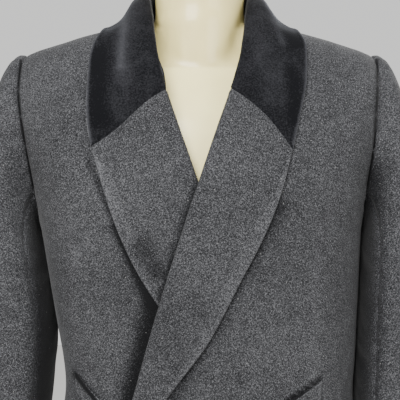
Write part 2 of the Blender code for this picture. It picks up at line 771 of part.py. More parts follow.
def sleeve_start(side, degrees):
    turn = degrees if degrees <= 180 else degrees - 360
    point = ARMHOLE_SEAM[side](turn)
    seam = coat.normal(*armhole(side, turn))
    ahead, behind = coat.at(*armhole(side, turn + 1)), coat.at(*armhole(side, turn - 1))
    into_hole = (ahead - behind).cross(seam).normalized()
    if into_hole.x * side < 0:
        into_hole = -into_hole
    top = max(math.cos(math.radians(turn)), 0.0)
    return point + into_hole * SEAM_GAP + seam * SLEEVE_ROPE * top


def sleeve_curves():
    rings = list(reversed(SLEEVE))
    return {
        column: SmoothCurve([ring.z for ring in rings], [getattr(ring, column) for ring in rings])
        for column in SleeveRing._fields[1:]
    }


SLEEVE_CURVES = sleeve_curves()

# Which way the sleeve head leaves the armhole: out, ahead and up, and how strongly
CAP_LEAVES = (0.85, 0.55, 0.32)
CAP_START_PULL = 0.5
CAP_END_PULL = 0.9
SLEEVE_BORDER = 2


def sleeve_ring(side, degrees, z):
    ring = {column: curve(z) for column, curve in SLEEVE_CURVES.items()}
    inner = ring["inner_left" if side > 0 else "inner_right"]
    half_width = ring["width"] / 2
    half_depth = (ring["back_y"] - ring["front_y"]) / 2
    across, ahead = math.cos(math.radians(degrees)), math.sin(math.radians(degrees))
    power = SLEEVE_SQUARENESS
    reach = (abs(across) ** power + abs(ahead) ** power) ** (-1 / power)
    x = inner + half_width * (1 + reach * across)
    y = ring["front_y"] + half_depth * (1 - reach * ahead)
    return Vector((side * x, y, z))


def sleeve_point(side, degrees, row):
    if row >= len(CAP_ROWS):
        return sleeve_ring(side, degrees, ARM_ROWS[row - len(CAP_ROWS)])
    t = CAP_ROWS[row]
    turn = math.radians(degrees)
    start = sleeve_start(side, degrees)
    end = sleeve_ring(side, degrees, ARM_ROWS[0])
    length = (end - start).length
    out, ahead, up = CAP_LEAVES
    leave = Vector((side * out, -ahead * math.sin(turn), up * math.cos(turn)))
    leave = leave.normalized() * length * CAP_START_PULL
    arrive = (sleeve_ring(side, degrees, ARM_ROWS[1]) - end).normalized() * length * CAP_END_PULL
    return (
        start * (1 + 2 * t) * (1 - t) ** 2
        + leave * t * (1 - t) ** 2
        + end * t * t * (3 - 2 * t)
        + arrive * t * t * (t - 1)
    )


def make_sleeve_piece(side, name, start, end, finish):
    """A piece of sleeve between two seams, given as turns round the armhole."""
    corners = {turn for turn in ARMHOLE_TURNS} | {-turn for turn in ARMHOLE_TURNS}
    corners |= {360 - turn for turn in ARMHOLE_TURNS}
    inner = sorted(turn for turn in corners if start < turn < end)
    turns = [start, start + SLEEVE_BORDER] + inner + [end - SLEEVE_BORDER, end]

    def surface(turn, row):
        point = sleeve_point(side, turn, row)
        if turn in (start, end):
            step = SLEEVE_BORDER if turn == start else -SLEEVE_BORDER
            inside = sleeve_point(side, turn + step, row)
            point += (inside - point).normalized() * HALF_SEAM
        return point

    rows = range(len(CAP_ROWS) + len(ARM_ROWS))
    return cloth(name, surface, turns, rows, WOOL, finish, turned=side < 0)


# Pocket welts


def make_welt(welt, name, panel, finish):
    """A strip over the front. Its top edge runs from the inner low end to the outer high end."""
    tree = tree_of(panel)
    start = (welt.side * math.radians(welt.inner_angle), coat.rise_at(welt.inner_z))
    end = (welt.side * math.radians(welt.outer_angle), coat.rise_at(welt.outer_z))

    def surface(s, t):
        angle = start[0] + (end[0] - start[0]) * s
        rise = start[1] + (end[1] - start[1]) * s - WELT_WIDTH * (1 - t)
        point = front_point(welt.side, angle, rise, WELT_LIFT)
        return rest_on(point, tree, WELT_LIFT)

    columns, rows = spread(9, 0.15), (0.0, 0.1, 0.5, 0.9, 1.0)
    return cloth(name, surface, columns, rows, WOOL, finish, turned=welt.side < 0)


# Buttons, form and stand


def turned_solid(name, profile, finish, steps):
    """A profile of (radius, height) points, from the top of the axis out and down, turned."""
    mesh = bpy.data.meshes.new(name)
    drawn = bmesh.new()
    points = [drawn.verts.new((radius, 0, height)) for radius, height in profile]
    for a, b in zip(points, points[1:]):
        drawn.edges.new((a, b))
    drawn.to_mesh(mesh)
    drawn.free()
    made = add_object(name, mesh, finish)
    screw = made.modifiers.new("turn", "SCREW")
    screw.steps = steps
    screw.render_steps = steps
    screw.use_merge_vertices = True
    screw.merge_threshold = 0.00001
    screw.use_smooth_shade = True
    return made


def make_button(name, x, z, finish):
    """A round button with a sunk middle and a rim, its back against the upper front."""
    r, t = BUTTON_RADIUS, BUTTON_THICKNESS
    profile = [
        (0, t - BUTTON_DISH),
        (r - 2 * BUTTON_RIM, t - BUTTON_DISH),
        (r - BUTTON_RIM, t),
        (r - BUTTON_DISH, t),
        (r, t - BUTTON_DISH),
        (r - BUTTON_DISH, BUTTON_DISH / 2),
        (r - BUTTON_RIM, 0),
        (0, 0),
    ]
    made = turned_solid(name, profile, finish, 18)
    normal = front_normal(x, z)
    made.matrix_world = Matrix.Translation(front_at(1, x, z, SEAM_GAP)) @ (
        normal.to_track_quat("Z", "Y").to_matrix().to_4x4()
    )
    return made


FORM_SEGMENTS = 28


def make_form(finish):
    """The torso is a ball whose rings are moved onto the form's sections."""
    levels = form.rises
    ball = bmesh.new()
    bmesh.ops.create_uvsphere(
        ball, u_segments=FORM_SEGMENTS, v_segments=len(levels) + 1, radius=1.0
    )
    for vert in ball.verts:
        ring = round(math.acos(max(-1.0, min(1.0, vert.co.z))) / math.pi * (len(levels) + 1))
        if ring in (0, len(levels) + 1):
            s = form.section(levels[-1] if ring == 0 else 0.0)
            vert.co = (s.centre_x, s.centre_y, s.z)
        else:
            angle = math.atan2(vert.co.x, -vert.co.y)
            vert.co = form.at(angle, levels[len(levels) - ring])
    mesh = bpy.data.meshes.new("form_torso")
    bmesh.ops.recalc_face_normals(ball, faces=ball.faces)
    ball.to_mesh(mesh)
    ball.free()
    mesh.shade_smooth()
    return add_object("form_torso", mesh, finish)


def make_stand(finish):
    pole_top = FORM[0].z - SEAM_GAP
    base = [
        (0, BASE_THICKNESS + 0.004),
        (0.045, BASE_THICKNESS + 0.004),
        (0.060, BASE_THICKNESS),
        (BASE_RADIUS - 0.003, BASE_THICKNESS),
        (BASE_RADIUS, BASE_THICKNESS - 0.003),
        (BASE_RADIUS, 0),
        (0, 0),
    ]
    turned_solid("stand_base", base, finish, 36)
    pole = [
        (0, pole_top),
        (0.040, pole_top),
        (0.040, pole_top - 0.006),
        (POLE_RADIUS, pole_top - 0.030),
        (POLE_RADIUS, BASE_THICKNESS + 0.004 + SEAM_GAP),
        (0, BASE_THICKNESS + 0.004 + SEAM_GAP),
    ]
    turned_solid("stand_pole", pole, finish, 24)


def main():
    wool = material("charcoal_wool")
    velvet = material("black_velvet")
    under = make_front(-1, "front_under", wool)
    upper = make_front(1, "front_upper", wool)
    back_right = make_back(-1, "back_right", wool)
    back_left = make_back(1, "back_left", wool)
    make_lapel(-1, "lapel_under", under, wool)
    make_lapel(1, "lapel_upper", upper, wool)
    make_collar((under, upper, back_right, back_left), velvet, wool)
    for side, hand in ((-1, "right"), (1, "left")):
        make_sleeve_piece(side, "sleeve_top_" + hand, HINDARM_SEAM - 360, FOREARM_SEAM, wool)
        make_sleeve_piece(side, "sleeve_under_" + hand, FOREARM_SEAM, HINDARM_SEAM, wool)
    for welt, panel, hand in zip(WELTS, (under, upper), ("right", "left")):
        make_welt(welt, "pocket_welt_" + hand, panel, wool)
    horn = material("black_horn")
    for row, z in enumerate(BUTTON_Z, start=1):
        for side, hand in ((-1, "right"), (1, "left")):
            make_button(f"button_{hand}_{row}", side * BUTTON_X, z, horn)
    make_form(material("cream_form"))
    make_stand(material("stand_steel"))


clear_scene()
collection = bpy.data.collections.new("chesterfield_coat_on_form")
bpy.context.scene.collection.children.link(collection)
main()
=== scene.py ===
# %% [markdown]
# # A chesterfield coat on a dress form
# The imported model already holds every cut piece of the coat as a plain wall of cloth. This
# script gives those pieces their cloth: it keeps their places and sizes, rounds their facets,
# presses in the creases, and mixes wool, velvet, horn and gloss out of shader nodes.
# We load the model first and note its box, because the dressed coat has to stay inside it.

import math
from collections import namedtuple

import bmesh
import bpy
from mathutils import Matrix, Vector, kdtree, noise
from mathutils.bvhtree import BVHTree


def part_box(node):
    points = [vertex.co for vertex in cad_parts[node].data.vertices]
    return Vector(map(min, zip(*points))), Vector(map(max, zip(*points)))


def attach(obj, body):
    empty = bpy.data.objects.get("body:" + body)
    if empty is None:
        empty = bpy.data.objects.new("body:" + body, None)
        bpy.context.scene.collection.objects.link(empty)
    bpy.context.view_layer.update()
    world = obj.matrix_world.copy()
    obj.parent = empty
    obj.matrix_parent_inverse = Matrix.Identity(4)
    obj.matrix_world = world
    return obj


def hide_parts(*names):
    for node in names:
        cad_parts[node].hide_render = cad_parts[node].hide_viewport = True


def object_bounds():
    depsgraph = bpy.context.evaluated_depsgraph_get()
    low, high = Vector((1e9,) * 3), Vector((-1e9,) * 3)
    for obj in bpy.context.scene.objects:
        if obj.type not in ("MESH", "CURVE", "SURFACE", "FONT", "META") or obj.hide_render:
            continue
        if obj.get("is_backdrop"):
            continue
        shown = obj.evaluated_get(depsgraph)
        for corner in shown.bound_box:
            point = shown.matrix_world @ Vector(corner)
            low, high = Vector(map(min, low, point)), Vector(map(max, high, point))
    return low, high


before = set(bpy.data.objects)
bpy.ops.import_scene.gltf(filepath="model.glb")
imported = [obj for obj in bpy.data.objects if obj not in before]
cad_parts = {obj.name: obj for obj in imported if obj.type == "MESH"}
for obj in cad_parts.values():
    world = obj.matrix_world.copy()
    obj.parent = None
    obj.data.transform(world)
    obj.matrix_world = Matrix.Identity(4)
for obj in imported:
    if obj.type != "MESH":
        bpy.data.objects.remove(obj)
cad_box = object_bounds()
MM = 0.001
print("pieces in the model:", len(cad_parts))

# %% [markdown]
# ## The view
# The camera stands level with the middle of the chest, 1.3 m in front of the form. A long lens
# keeps the shoulders from looking wide. One step of the 400 by 400 picture is then 1.33 mm on
# the plane through the form's axis, so a crease can be placed by where it shows.

# %% Camera
PICTURE = 400
SENSOR = 36.0
EYE = Vector((0.0, -1.3, 1.23))
STEP = 1.33 * MM
MIDDLE = (199.0, 200.0)

camera = bpy.data.objects.new("camera", bpy.data.cameras.new("camera"))
camera.data.sensor_width = SENSOR
camera.data.lens = SENSOR * abs(EYE.y) / (PICTURE * STEP)
camera.data.shift_x = (PICTURE / 2 - MIDDLE[0]) / PICTURE
camera.location = EYE
camera.rotation_euler = (math.pi / 2, 0, 0)
bpy.context.scene.collection.objects.link(camera)
bpy.context.scene.camera = camera


def in_picture(point):
    """Where a point shows, in steps from the picture's left and top."""
    scale = STEP * (point.y - EYE.y) / -EYE.y
    return Vector((MIDDLE[0] + point.x / scale, MIDDLE[1] - (point.z - EYE.z) / scale))


print("lens", round(camera.data.lens, 2), "mm")

# %% [markdown]
# ## Floor and light
# Charcoal cloth shows its form only by soft changes of light. One wide lamp high on the left
# models the chest, and a weaker one on the right opens the shadows. A pale floor and an even
# pale sky all round send light back into the hollows, and let the coat be seen from all sides.

# %% Floor
FLOOR_COLOUR = (0.70, 0.69, 0.67)
FLOOR_HALF = 7.0


def plain_finish(name, colour, roughness):
    made = bpy.data.materials.new(name)
    made.use_nodes = True
    shader = made.node_tree.nodes["Principled BSDF"]
    shader.inputs["Base Color"].default_value = (*colour, 1)
    shader.inputs["Roughness"].default_value = roughness
    return made


floor_drawn = bmesh.new()
bmesh.ops.create_grid(floor_drawn, x_segments=1, y_segments=1, size=FLOOR_HALF)
floor_mesh = bpy.data.meshes.new("floor")
floor_drawn.to_mesh(floor_mesh)
floor_drawn.free()
floor_mesh.materials.append(plain_finish("pale_floor", FLOOR_COLOUR, 0.9))
floor = bpy.data.objects.new("floor", floor_mesh)
bpy.context.scene.collection.objects.link(floor)
floor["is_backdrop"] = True

# %% Lamps
Lamp = namedtuple("Lamp", "name place aim size power")
LAMPS = (
    Lamp("key", (-0.9, -2.2, 2.9), (0, 0, 1.2), 1.5, 150),
    Lamp("fill", (1.5, -1.9, 1.7), (0, 0, 1.1), 1.3, 34),
    Lamp("back", (1.2, 1.6, 2.8), (0, 0.3, 1.1), 1.6, 30),
)
SKY = (0.80, 0.80, 0.79)
SKY_STRENGTH = 1.15

for lamp in LAMPS:
    light = bpy.data.lights.new(lamp.name, "AREA")
    light.size = lamp.size
    light.energy = lamp.power
    placed = bpy.data.objects.new(lamp.name, light)
    placed.location = lamp.place
    placed.rotation_euler = (Vector(lamp.aim) - Vector(lamp.place)).to_track_quat("-Z", "Y").to_euler()
    bpy.context.scene.collection.objects.link(placed)

world = bpy.data.worlds.new("studio")
world.use_nodes = True
world.node_tree.nodes["Background"].inputs["Color"].default_value = (*SKY, 1)
world.node_tree.nodes["Background"].inputs["Strength"].default_value = SKY_STRENGTH
bpy.context.scene.world = world
print("lamps:", [lamp.name for lamp in LAMPS])

# %% [markdown]
# ## Shader sums
# Node trees are hard to read as lists of links. This small class lets a value from a node be
# added and multiplied like a number: each sum adds its own Math node to the tree.

# %% Values and finishes


class Value:
    """What a node gives. Sums of values add Math nodes."""

    def __init__(self, finish, socket):
        self.finish = finish
        self.socket = socket

    def math(self, operation, *terms):
        return self.finish.node("ShaderNodeMath", {"operation": operation}, dict(enumerate(terms)))

    def __add__(self, other):
        return self.math("ADD", self, other)

    def __sub__(self, other):
        return self.math("SUBTRACT", self, other)

    def __rsub__(self, other):
        return self.math("SUBTRACT", other, self)

    def __mul__(self, other):
        return self.math("MULTIPLY", self, other)

    def __pow__(self, other):
        return self.math("POWER", self, other)

    __radd__ = __add__
    __rmul__ = __mul__

    def between(self, low, high):
        """0 below low, 1 above high and a soft step between them."""
        settings = {"interpolation_type": "SMOOTHSTEP"}
        return self.finish.node("ShaderNodeMapRange", settings, {"Value": self, 1: low, 2: high})


class Finish:
    """A material whose shader is set by name, and whose other nodes are made by node()."""

    def __init__(self, name, **uniform):
        self.material = bpy.data.materials.new(name)
        self.material.use_nodes = True
        self.tree = self.material.node_tree
        self.shader = self.tree.nodes["Principled BSDF"]
        for socket, value in uniform.items():
            self.shader.inputs[socket.replace("_", " ")].default_value = value
        self.place = self.node("ShaderNodeTexCoord", {}, {}, "Object")

    def node(self, kind, settings, inputs, output=0):
        made = self.tree.nodes.new(kind)
        for key, value in settings.items():
            if key == "stops":
                ramp = made.color_ramp.elements
                while len(ramp) < len(value):
                    ramp.new(1.0)
                for element, (position, colour) in zip(ramp, value):
                    element.position = position
                    element.color = (*colour, 1)
            else:
                setattr(made, key, value)
        for key, value in inputs.items():
            if isinstance(value, Value):
                self.tree.links.new(value.socket, made.inputs[key])
            elif isinstance(value, tuple) and len(value) == 3 and made.inputs[key].type == "RGBA":
                made.inputs[key].default_value = (*value, 1)
            else:
                made.inputs[key].default_value = value
        return Value(self, made.outputs[output])

    def noise(self, size, detail=2.0, stretch=(1, 1, 1), turn=(0, 0, 0), rough=0.5):
        """Soft blotches of about that size in metres, stretched and then turned."""
        where = self.node(
            "ShaderNodeMapping",
            {"vector_type": "TEXTURE"},
            {"Vector": self.place, "Rotation": tuple(math.radians(a) for a in turn), "Scale": stretch},
        )
        inputs = {"Vector": where, "Scale": 1 / size, "Detail": detail, "Roughness": rough}
        return self.node("ShaderNodeTexNoise", {}, inputs)

    def cells(self, size):
        """How far the nearest of many scattered points is, in their spacing."""
        inputs = {"Vector": self.place, "Scale": 1 / size}
        return self.node("ShaderNodeTexVoronoi", {"feature": "F1"}, inputs)

    def kept(self, name):
        """A number that is kept with the points of the mesh."""
        return self.node("ShaderNodeAttribute", {"attribute_name": name}, {}, "Fac")

    def blend(self, share, low, high):
        """A colour between two colours."""
        settings = {"data_type": "RGBA", "clamp_factor": True}
        return self.node("ShaderNodeMix", settings, {0: share, 6: low, 7: high}, 2)

    def set(self, **varying):
        for socket, value in varying.items():
            self.tree.links.new(value.socket, self.shader.inputs[socket.replace("_", " ")])

    def bump(self, height, depth, strength=1.0):
        inputs = {"Height": height, "Distance": depth, "Strength": strength}
        self.set(Normal=self.node("ShaderNodeBump", {}, inputs))


print("finishes are made by the class", Finish.__name__)

# %% [markdown]
# ## Wool
# The coat is a dense crepe: hard-twisted yarns that lie in short strokes along both
# diagonals. Two noises, each drawn out along its own diagonal, are laid over each other, so the
# grain has a direction at every point but never lines up into stripes. Pale fibre ends stand
# out as flecks. Sheen gives the soft halo of the nap where the cloth turns away.

# %% Wool finish
WOOL_DARK = (0.0045, 0.0046, 0.0052)
WOOL_MIDDLE = (0.029, 0.0294, 0.0316)
WOOL_LIGHT = (0.104, 0.105, 0.111)
FLECK = (0.30, 0.30, 0.29)
FLECK_STEP = 11 * MM
GRAIN = 1.05 * MM
GRAIN_STRETCH = (1.8, 1, 1)
GRAIN_CONTRAST = 3.2


def make_wool(name):
    wool = Finish(name, Sheen_Weight=0.07, Sheen_Roughness=0.45, Specular_IOR_Level=0.10)
    one = wool.noise(GRAIN, 1.5, GRAIN_STRETCH, (38, 45, 20))
    two = wool.noise(GRAIN, 1.5, GRAIN_STRETCH, (-38, -45, -20))
    grain = one * 0.5 + two * 0.5
    blotches = wool.noise(14 * MM, 3.0)
    cloudy = wool.noise(90 * MM, 2.0)
    level = (grain - 0.5) * GRAIN_CONTRAST + 0.5 + (blotches - 0.5) * 0.25 + (cloudy - 0.5) * 0.25
    # Free edges are lightened, partly wear and partly painted sheen, and the painted light and shade
    # of the bands is added.
    level = level + wool.kept("worn") * 0.16 + wool.kept("tone") * 0.5
    ramp = wool.node(
        "ShaderNodeValToRGB",
        {"stops": [(0.0, WOOL_DARK), (0.5, WOOL_MIDDLE), (1.0, WOOL_LIGHT)]},
        {"Fac": level},
    )
    fleck = 1 - wool.cells(FLECK_STEP).between(0.035, 0.08)
    wool.set(Base_Color=wool.blend(fleck * 0.45, ramp, FLECK))
    wool.set(Roughness=0.80 + grain * 0.15)
    wool.bump(grain, 0.9 * MM, 0.55)
    return wool.material


wool = make_wool("charcoal_wool_crepe")
print("wool nodes:", len(wool.node_tree.nodes))

# %% [markdown]
# ## Velvet
# Cotton velvet swallows light along its pile and throws it back where the pile leans away, so
# nearly all of its look is sheen on a black ground. The pile has been stroked and crushed here
# and there: broad bands down the collar are a shade lighter, with a fine speckle of lint.

# %% Velvet finish
VELVET_DARK = (0.0030, 0.0031, 0.0040)
VELVET_LIGHT = (0.036, 0.0365, 0.041)
PILE = 1.9 * MM
LINT_STEP = 5 * MM


def make_velvet(name):
    velvet = Finish(
        name,
        Sheen_Weight=0.16,
        Sheen_Roughness=0.30,
        Sheen_Tint=(0.80, 0.84, 0.95, 1),
        Specular_IOR_Level=0.10,
        Roughness=0.95,
    )
    stroked = velvet.noise(22 * MM, 2.0, (1, 1, 3.2), (8, 0, 0))
    pile = velvet.noise(PILE, 2.0)
    lint = 1 - velvet.cells(LINT_STEP).between(0.07, 0.14)
    share = stroked.between(0.42, 0.74) * 0.14 + (pile - 0.5) * 1.0 + 0.07 + lint * 0.3
    # Painted sheen stripes and painted shade from the bands, and free edges lightened partly by wear
    # and partly by painted sheen.
    share = share + velvet.kept("tone") * 0.6 + velvet.kept("worn") ** 3.0 * 0.9
    velvet.set(Base_Color=velvet.blend(share, VELVET_DARK, VELVET_LIGHT))
    velvet.bump(pile, 0.4 * MM, 0.4)
    return velvet.material


velvet = make_velvet("black_velvet_pile")
print("velvet nodes:", len(velvet.node_tree.nodes))

# %% [markdown]
# ## Form, horn and steel
# The form is cast in cream plastic with a satin lacquer: it needs a clear highlight, a faint
# unevenness in the colour and a little ripple in the gloss. From the base of its neck upwards
# the colour is painted darker and warmer as painted shade, broken by pale vertical streaks that
# are painted highlights. Horn buttons are black with brown streaks, and the stand is brushed steel.

# %% Form finish
CREAM = (0.97, 0.86, 0.40)
# The darker cream gives worn patches and specks, and the painted shade of the neck, which fades in
# between the two heights below.
CREAM_WORN_AND_SHADED = (0.76, 0.65, 0.28)
NECK_SHADE_STEP = (1.396, 1.402)


def make_cream(name):
    cream = Finish(name, Coat_Weight=0.35, Coat_Roughness=0.12, Specular_IOR_Level=0.45)
    worn = cream.noise(60 * MM, 3.0)
    specks = cream.noise(2.5 * MM, 2.0)
    share = worn.between(0.35, 0.75) * 0.35 + specks.between(0.66, 0.80) * 0.2
    height = cream.node("ShaderNodeSeparateXYZ", {}, {"Vector": cream.place}, "Z")
    # Painted shade on the neck: darker above its base, broken by pale vertical streaks that are
    # painted highlights.
    share = share + height.between(*NECK_SHADE_STEP) * (1.4 - cream.noise(16 * MM, 1.0, (1, 1, 9)))
    cream.set(Base_Color=cream.blend(share, CREAM, CREAM_WORN_AND_SHADED))
    cream.set(Roughness=0.30 + worn * 0.16)
    cream.bump(cream.noise(35 * MM, 1.0), 1.2 * MM, 0.25)
    return cream.material


cream = make_cream("cream_lacquer")
print("cream nodes:", len(cream.node_tree.nodes))

# %% Horn and steel finishes
HORN_BLACK, HORN_BROWN = (0.008, 0.008, 0.009), (0.045, 0.030, 0.020)
STEEL_DARK, STEEL_LIGHT = (0.42, 0.42, 0.43), (0.66, 0.66, 0.67)


def make_horn(name):
    horn = Finish(name, Coat_Weight=0.08, Coat_Roughness=0.15, Specular_IOR_Level=0.22)
    streaks = horn.noise(3.0 * MM, 3.0, (4, 1, 1), (0, 0, 30))
    horn.set(Base_Color=horn.blend(streaks.between(0.50, 0.80), HORN_BLACK, HORN_BROWN))
    horn.set(Roughness=0.28 + streaks * 0.2)
    horn.bump(streaks, 0.1 * MM, 0.4)
    return horn.material


def make_steel(name):
    steel = Finish(name, Metallic=1.0)
    brushed = steel.noise(1.2 * MM, 2.0, (14, 14, 1))
    smudges = steel.noise(50 * MM, 3.0)
    steel.set(Base_Color=steel.blend((brushed + smudges) * 0.5, STEEL_DARK, STEEL_LIGHT))
    steel.set(Roughness=0.24 + brushed * 0.16 + smudges * 0.10)
    steel.bump(brushed, 0.05 * MM, 0.3)
    return steel.material


horn = make_horn("black_horn_polished")
steel = make_steel("brushed_stand_steel")
thread = make_horn("black_thread")
print("made", horn.name, "and", steel.name)

# %% [markdown]
# ## From a wall of cloth to a sheet
# A sewn panel is a thin wall with an outer side, an inner side and rims. The rims meet both
# sides at right angles, so splitting the sharp edges takes the wall apart, and the side that
# faces away from the body is the sheet we want. Subdivision then rounds its facets. It would
# also shrink the sheet, so the control points are first moved out by what they would lose:
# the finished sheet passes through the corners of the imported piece. Points of the border move
# only across it, and the others only along their normals: with more freedom, the narrow faces
# beside the border would fold over each other.

# %% Take the outer side of a wall
WELD = 0.02 * MM
RIM_ANGLE = math.radians(62)


def islands_of(sheet):
    left = set(sheet.faces)
    while left:
        island = [left.pop()]
        for face in island:
            for other in {f for edge in face.edges for f in edge.link_faces} & left:
                left.remove(other)
                island.append(other)
        yield island


def welded(node):
    """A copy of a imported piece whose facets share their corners."""
    copy = bmesh.new()
    copy.from_mesh(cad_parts[node].data)
    bmesh.ops.remove_doubles(copy, verts=copy.verts, dist=WELD)
    return copy


def join_to_quads(drawn):
    any_angle = {"angle_face_threshold": math.pi, "angle_shape_threshold": math.pi}
    bmesh.ops.join_triangles(drawn, faces=drawn.faces, **any_angle)


def outer_side(node, inside):
    """The side of a cloth wall that faces away from a point inside the body."""
    sheet = welded(node)
    sharp = [edge for edge in sheet.edges if edge.calc_face_angle(0) > RIM_ANGLE]
    bmesh.ops.split_edges(sheet, edges=sharp)

    def facing(island):
        return sum(f.calc_area() * f.normal.dot(f.calc_center_median() - inside) for f in island)

    outer = set(max(islands_of(sheet), key=facing))
    bmesh.ops.delete(sheet, geom=[f for f in sheet.faces if f not in outer], context="FACES")
    join_to_quads(sheet)
    return sheet


# %% Round its facets
SETTLING = 2


def border_ways(mesh):
    """The way that the border runs at each of its corners, by the corner's number."""
    drawn = bmesh.new()
    drawn.from_mesh(mesh)
    ways = {}
    for vert in drawn.verts:
        ends = [edge.other_vert(vert).co for edge in vert.link_edges if edge.is_boundary]
        if len(ends) == 2:
            ways[vert.index] = (ends[0] - ends[1]).normalized()
    drawn.free()
    return ways


def rounded(mesh, levels):
    """A finer copy of a sheet that passes through the sheet's own corners."""
    draft = bpy.data.objects.new("draft", mesh)
    bpy.context.scene.collection.objects.link(draft)
    smooth = draft.modifiers.new("smooth", "SUBSURF")
    smooth.levels = levels
    smooth.render_levels = levels
    smooth.boundary_smooth = "PRESERVE_CORNERS"
    wanted = [vert.co.copy() for vert in mesh.vertices]
    along = border_ways(mesh)
    for _ in range(SETTLING):
        fine = draft.evaluated_get(bpy.context.evaluated_depsgraph_get()).data
        lost = [want - fine.vertices[i].co for i, want in enumerate(wanted)]
        for vert, move in zip(mesh.vertices, lost):
            way = along.get(vert.index)
            vert.co += move - way * move.dot(way) if way else vert.normal * move.dot(vert.normal)
        mesh.update()
    sheet = bmesh.new()
    sheet.from_mesh(draft.evaluated_get(bpy.context.evaluated_depsgraph_get()).data)
    bpy.data.objects.remove(draft)
    bmesh.ops.triangulate(sheet, faces=[f for f in sheet.faces if len(f.verts) > 4])
    sheet.normal_update()
    return sheet


# %% [markdown]
# ## The cut pieces
# Each row names a piece of the coat, a point that its outer side faces away from, how finely
# it is rounded, the wall of its cloth, and how it was cut: the width and length of the flat
# piece and its flat area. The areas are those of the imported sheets, because wool coating
# neither stretches nor shrinks by much when it is sewn and pressed.

# %% Table of cloth pieces
Piece = namedtuple("Piece", "node inside levels wall finish slot flat area held rests_on")
AXIS = Vector((0, 0, 1.0))
BEHIND = Vector((0, 1.0, 1.0))
ARM_RIGHT, ARM_LEFT = Vector((-0.245, 0, 1.0)), Vector((0.255, 0, 1.0))
WOOL_WALL, VELVET_WALL, UNDER_WALL = 1.8 * MM, 1.2 * MM, 1.0 * MM
WOOL_SLOT, VELVET_SLOT = "charcoal_wool", "black_velvet"
FORM = "form_torso"
PIECES = (
    Piece("front_upper", AXIS, 3, WOOL_WALL, wool, WOOL_SLOT, (0.44, 1.08), 0.367, "hung", FORM),
    Piece("front_under", AXIS, 3, WOOL_WALL, wool, WOOL_SLOT, (0.44, 1.08), 0.348, "hung", FORM),
    Piece("back_left", AXIS, 3, WOOL_WALL, wool, WOOL_SLOT, (0.33, 1.10), 0.307, "hung", FORM),
    Piece("back_right", AXIS, 3, WOOL_WALL, wool, WOOL_SLOT, (0.33, 1.10), 0.307, "hung", FORM),
    *(
        Piece(
            f"sleeve_{part}_{hand}", arm, 3, WOOL_WALL, wool, WOOL_SLOT, flat, area, "hung",
            "back_" + hand,
        )
        for part, flat, area in (("top", (0.26, 0.68), 0.153), ("under", (0.15, 0.62), 0.066))
        for hand, arm in (("left", ARM_LEFT), ("right", ARM_RIGHT))
    ),
    *(
        Piece(
            "lapel_" + layer, BEHIND, 3, WOOL_WALL, wool, WOOL_SLOT, (0.15, 0.48), area, "folded",
            "front_" + layer,
        )
        for layer, area in (("upper", 0.037), ("under", 0.041))
    ),
    Piece(
        "top_collar", AXIS, 3, VELVET_WALL, velvet, VELVET_SLOT, (0.60, 0.16), 0.081, "folded",
        "under_collar",
    ),
    Piece(
        "under_collar", AXIS, 2, UNDER_WALL, wool, WOOL_SLOT, (0.60, 0.09), 0.044, "folded",
        "back_left",
    ),
    *(
        Piece(
            "pocket_welt_" + hand, BEHIND, 3, WOOL_WALL, wool, WOOL_SLOT, (0.105, 0.026), None,
            "laid", "front_" + layer,
        )
        for hand, layer in (("left", "upper"), ("right", "under"))
    ),
)

sheets = {}
for piece in PIECES:
    sides = outer_side(piece.node, piece.inside)
    plain = bpy.data.meshes.new(piece.node + "_plain")
    sides.to_mesh(plain)
    odd = sum(len(face.verts) == 3 for face in sides.faces)
    area = sum(face.calc_area() for face in sides.faces)
    sides.free()
    sheets[piece.node] = rounded(plain, piece.levels)
    print(piece.node, "faces", len(plain.polygons), "of them triangles", odd, "area", round(area, 4))

# %% [markdown]
# ## Seams and edges
# A seam pulls the cloth down into a narrow valley with a soft swell on each side. A free edge
# is two layers turned and pressed: it is a little fuller than the cloth behind it, and the
# stitches that hold it dimple the cloth some 6 mm in. To press both into a sheet we need to
# know how far each point is from the border, and whether that stretch of border is sewn.

# %% Measure from the border
SEWN_WITHIN = 1.3 * MM


def surface_tree(name, sheet):
    sheet.verts.ensure_lookup_table()
    for index, vert in enumerate(sheet.verts):
        vert.index = index
    return BVHTree.FromBMesh(sheet)


trees = {name: surface_tree(name, sheet) for name, sheet in sheets.items()}


def partner(name, point):
    """The place and normal of the sheet that a point of the border is sewn to, if it is."""
    for other, tree in trees.items():
        if other != name:
            place, normal, _, _ = tree.find_nearest(point, SEWN_WITHIN)
            if place is not None:
                return place, normal
    return None


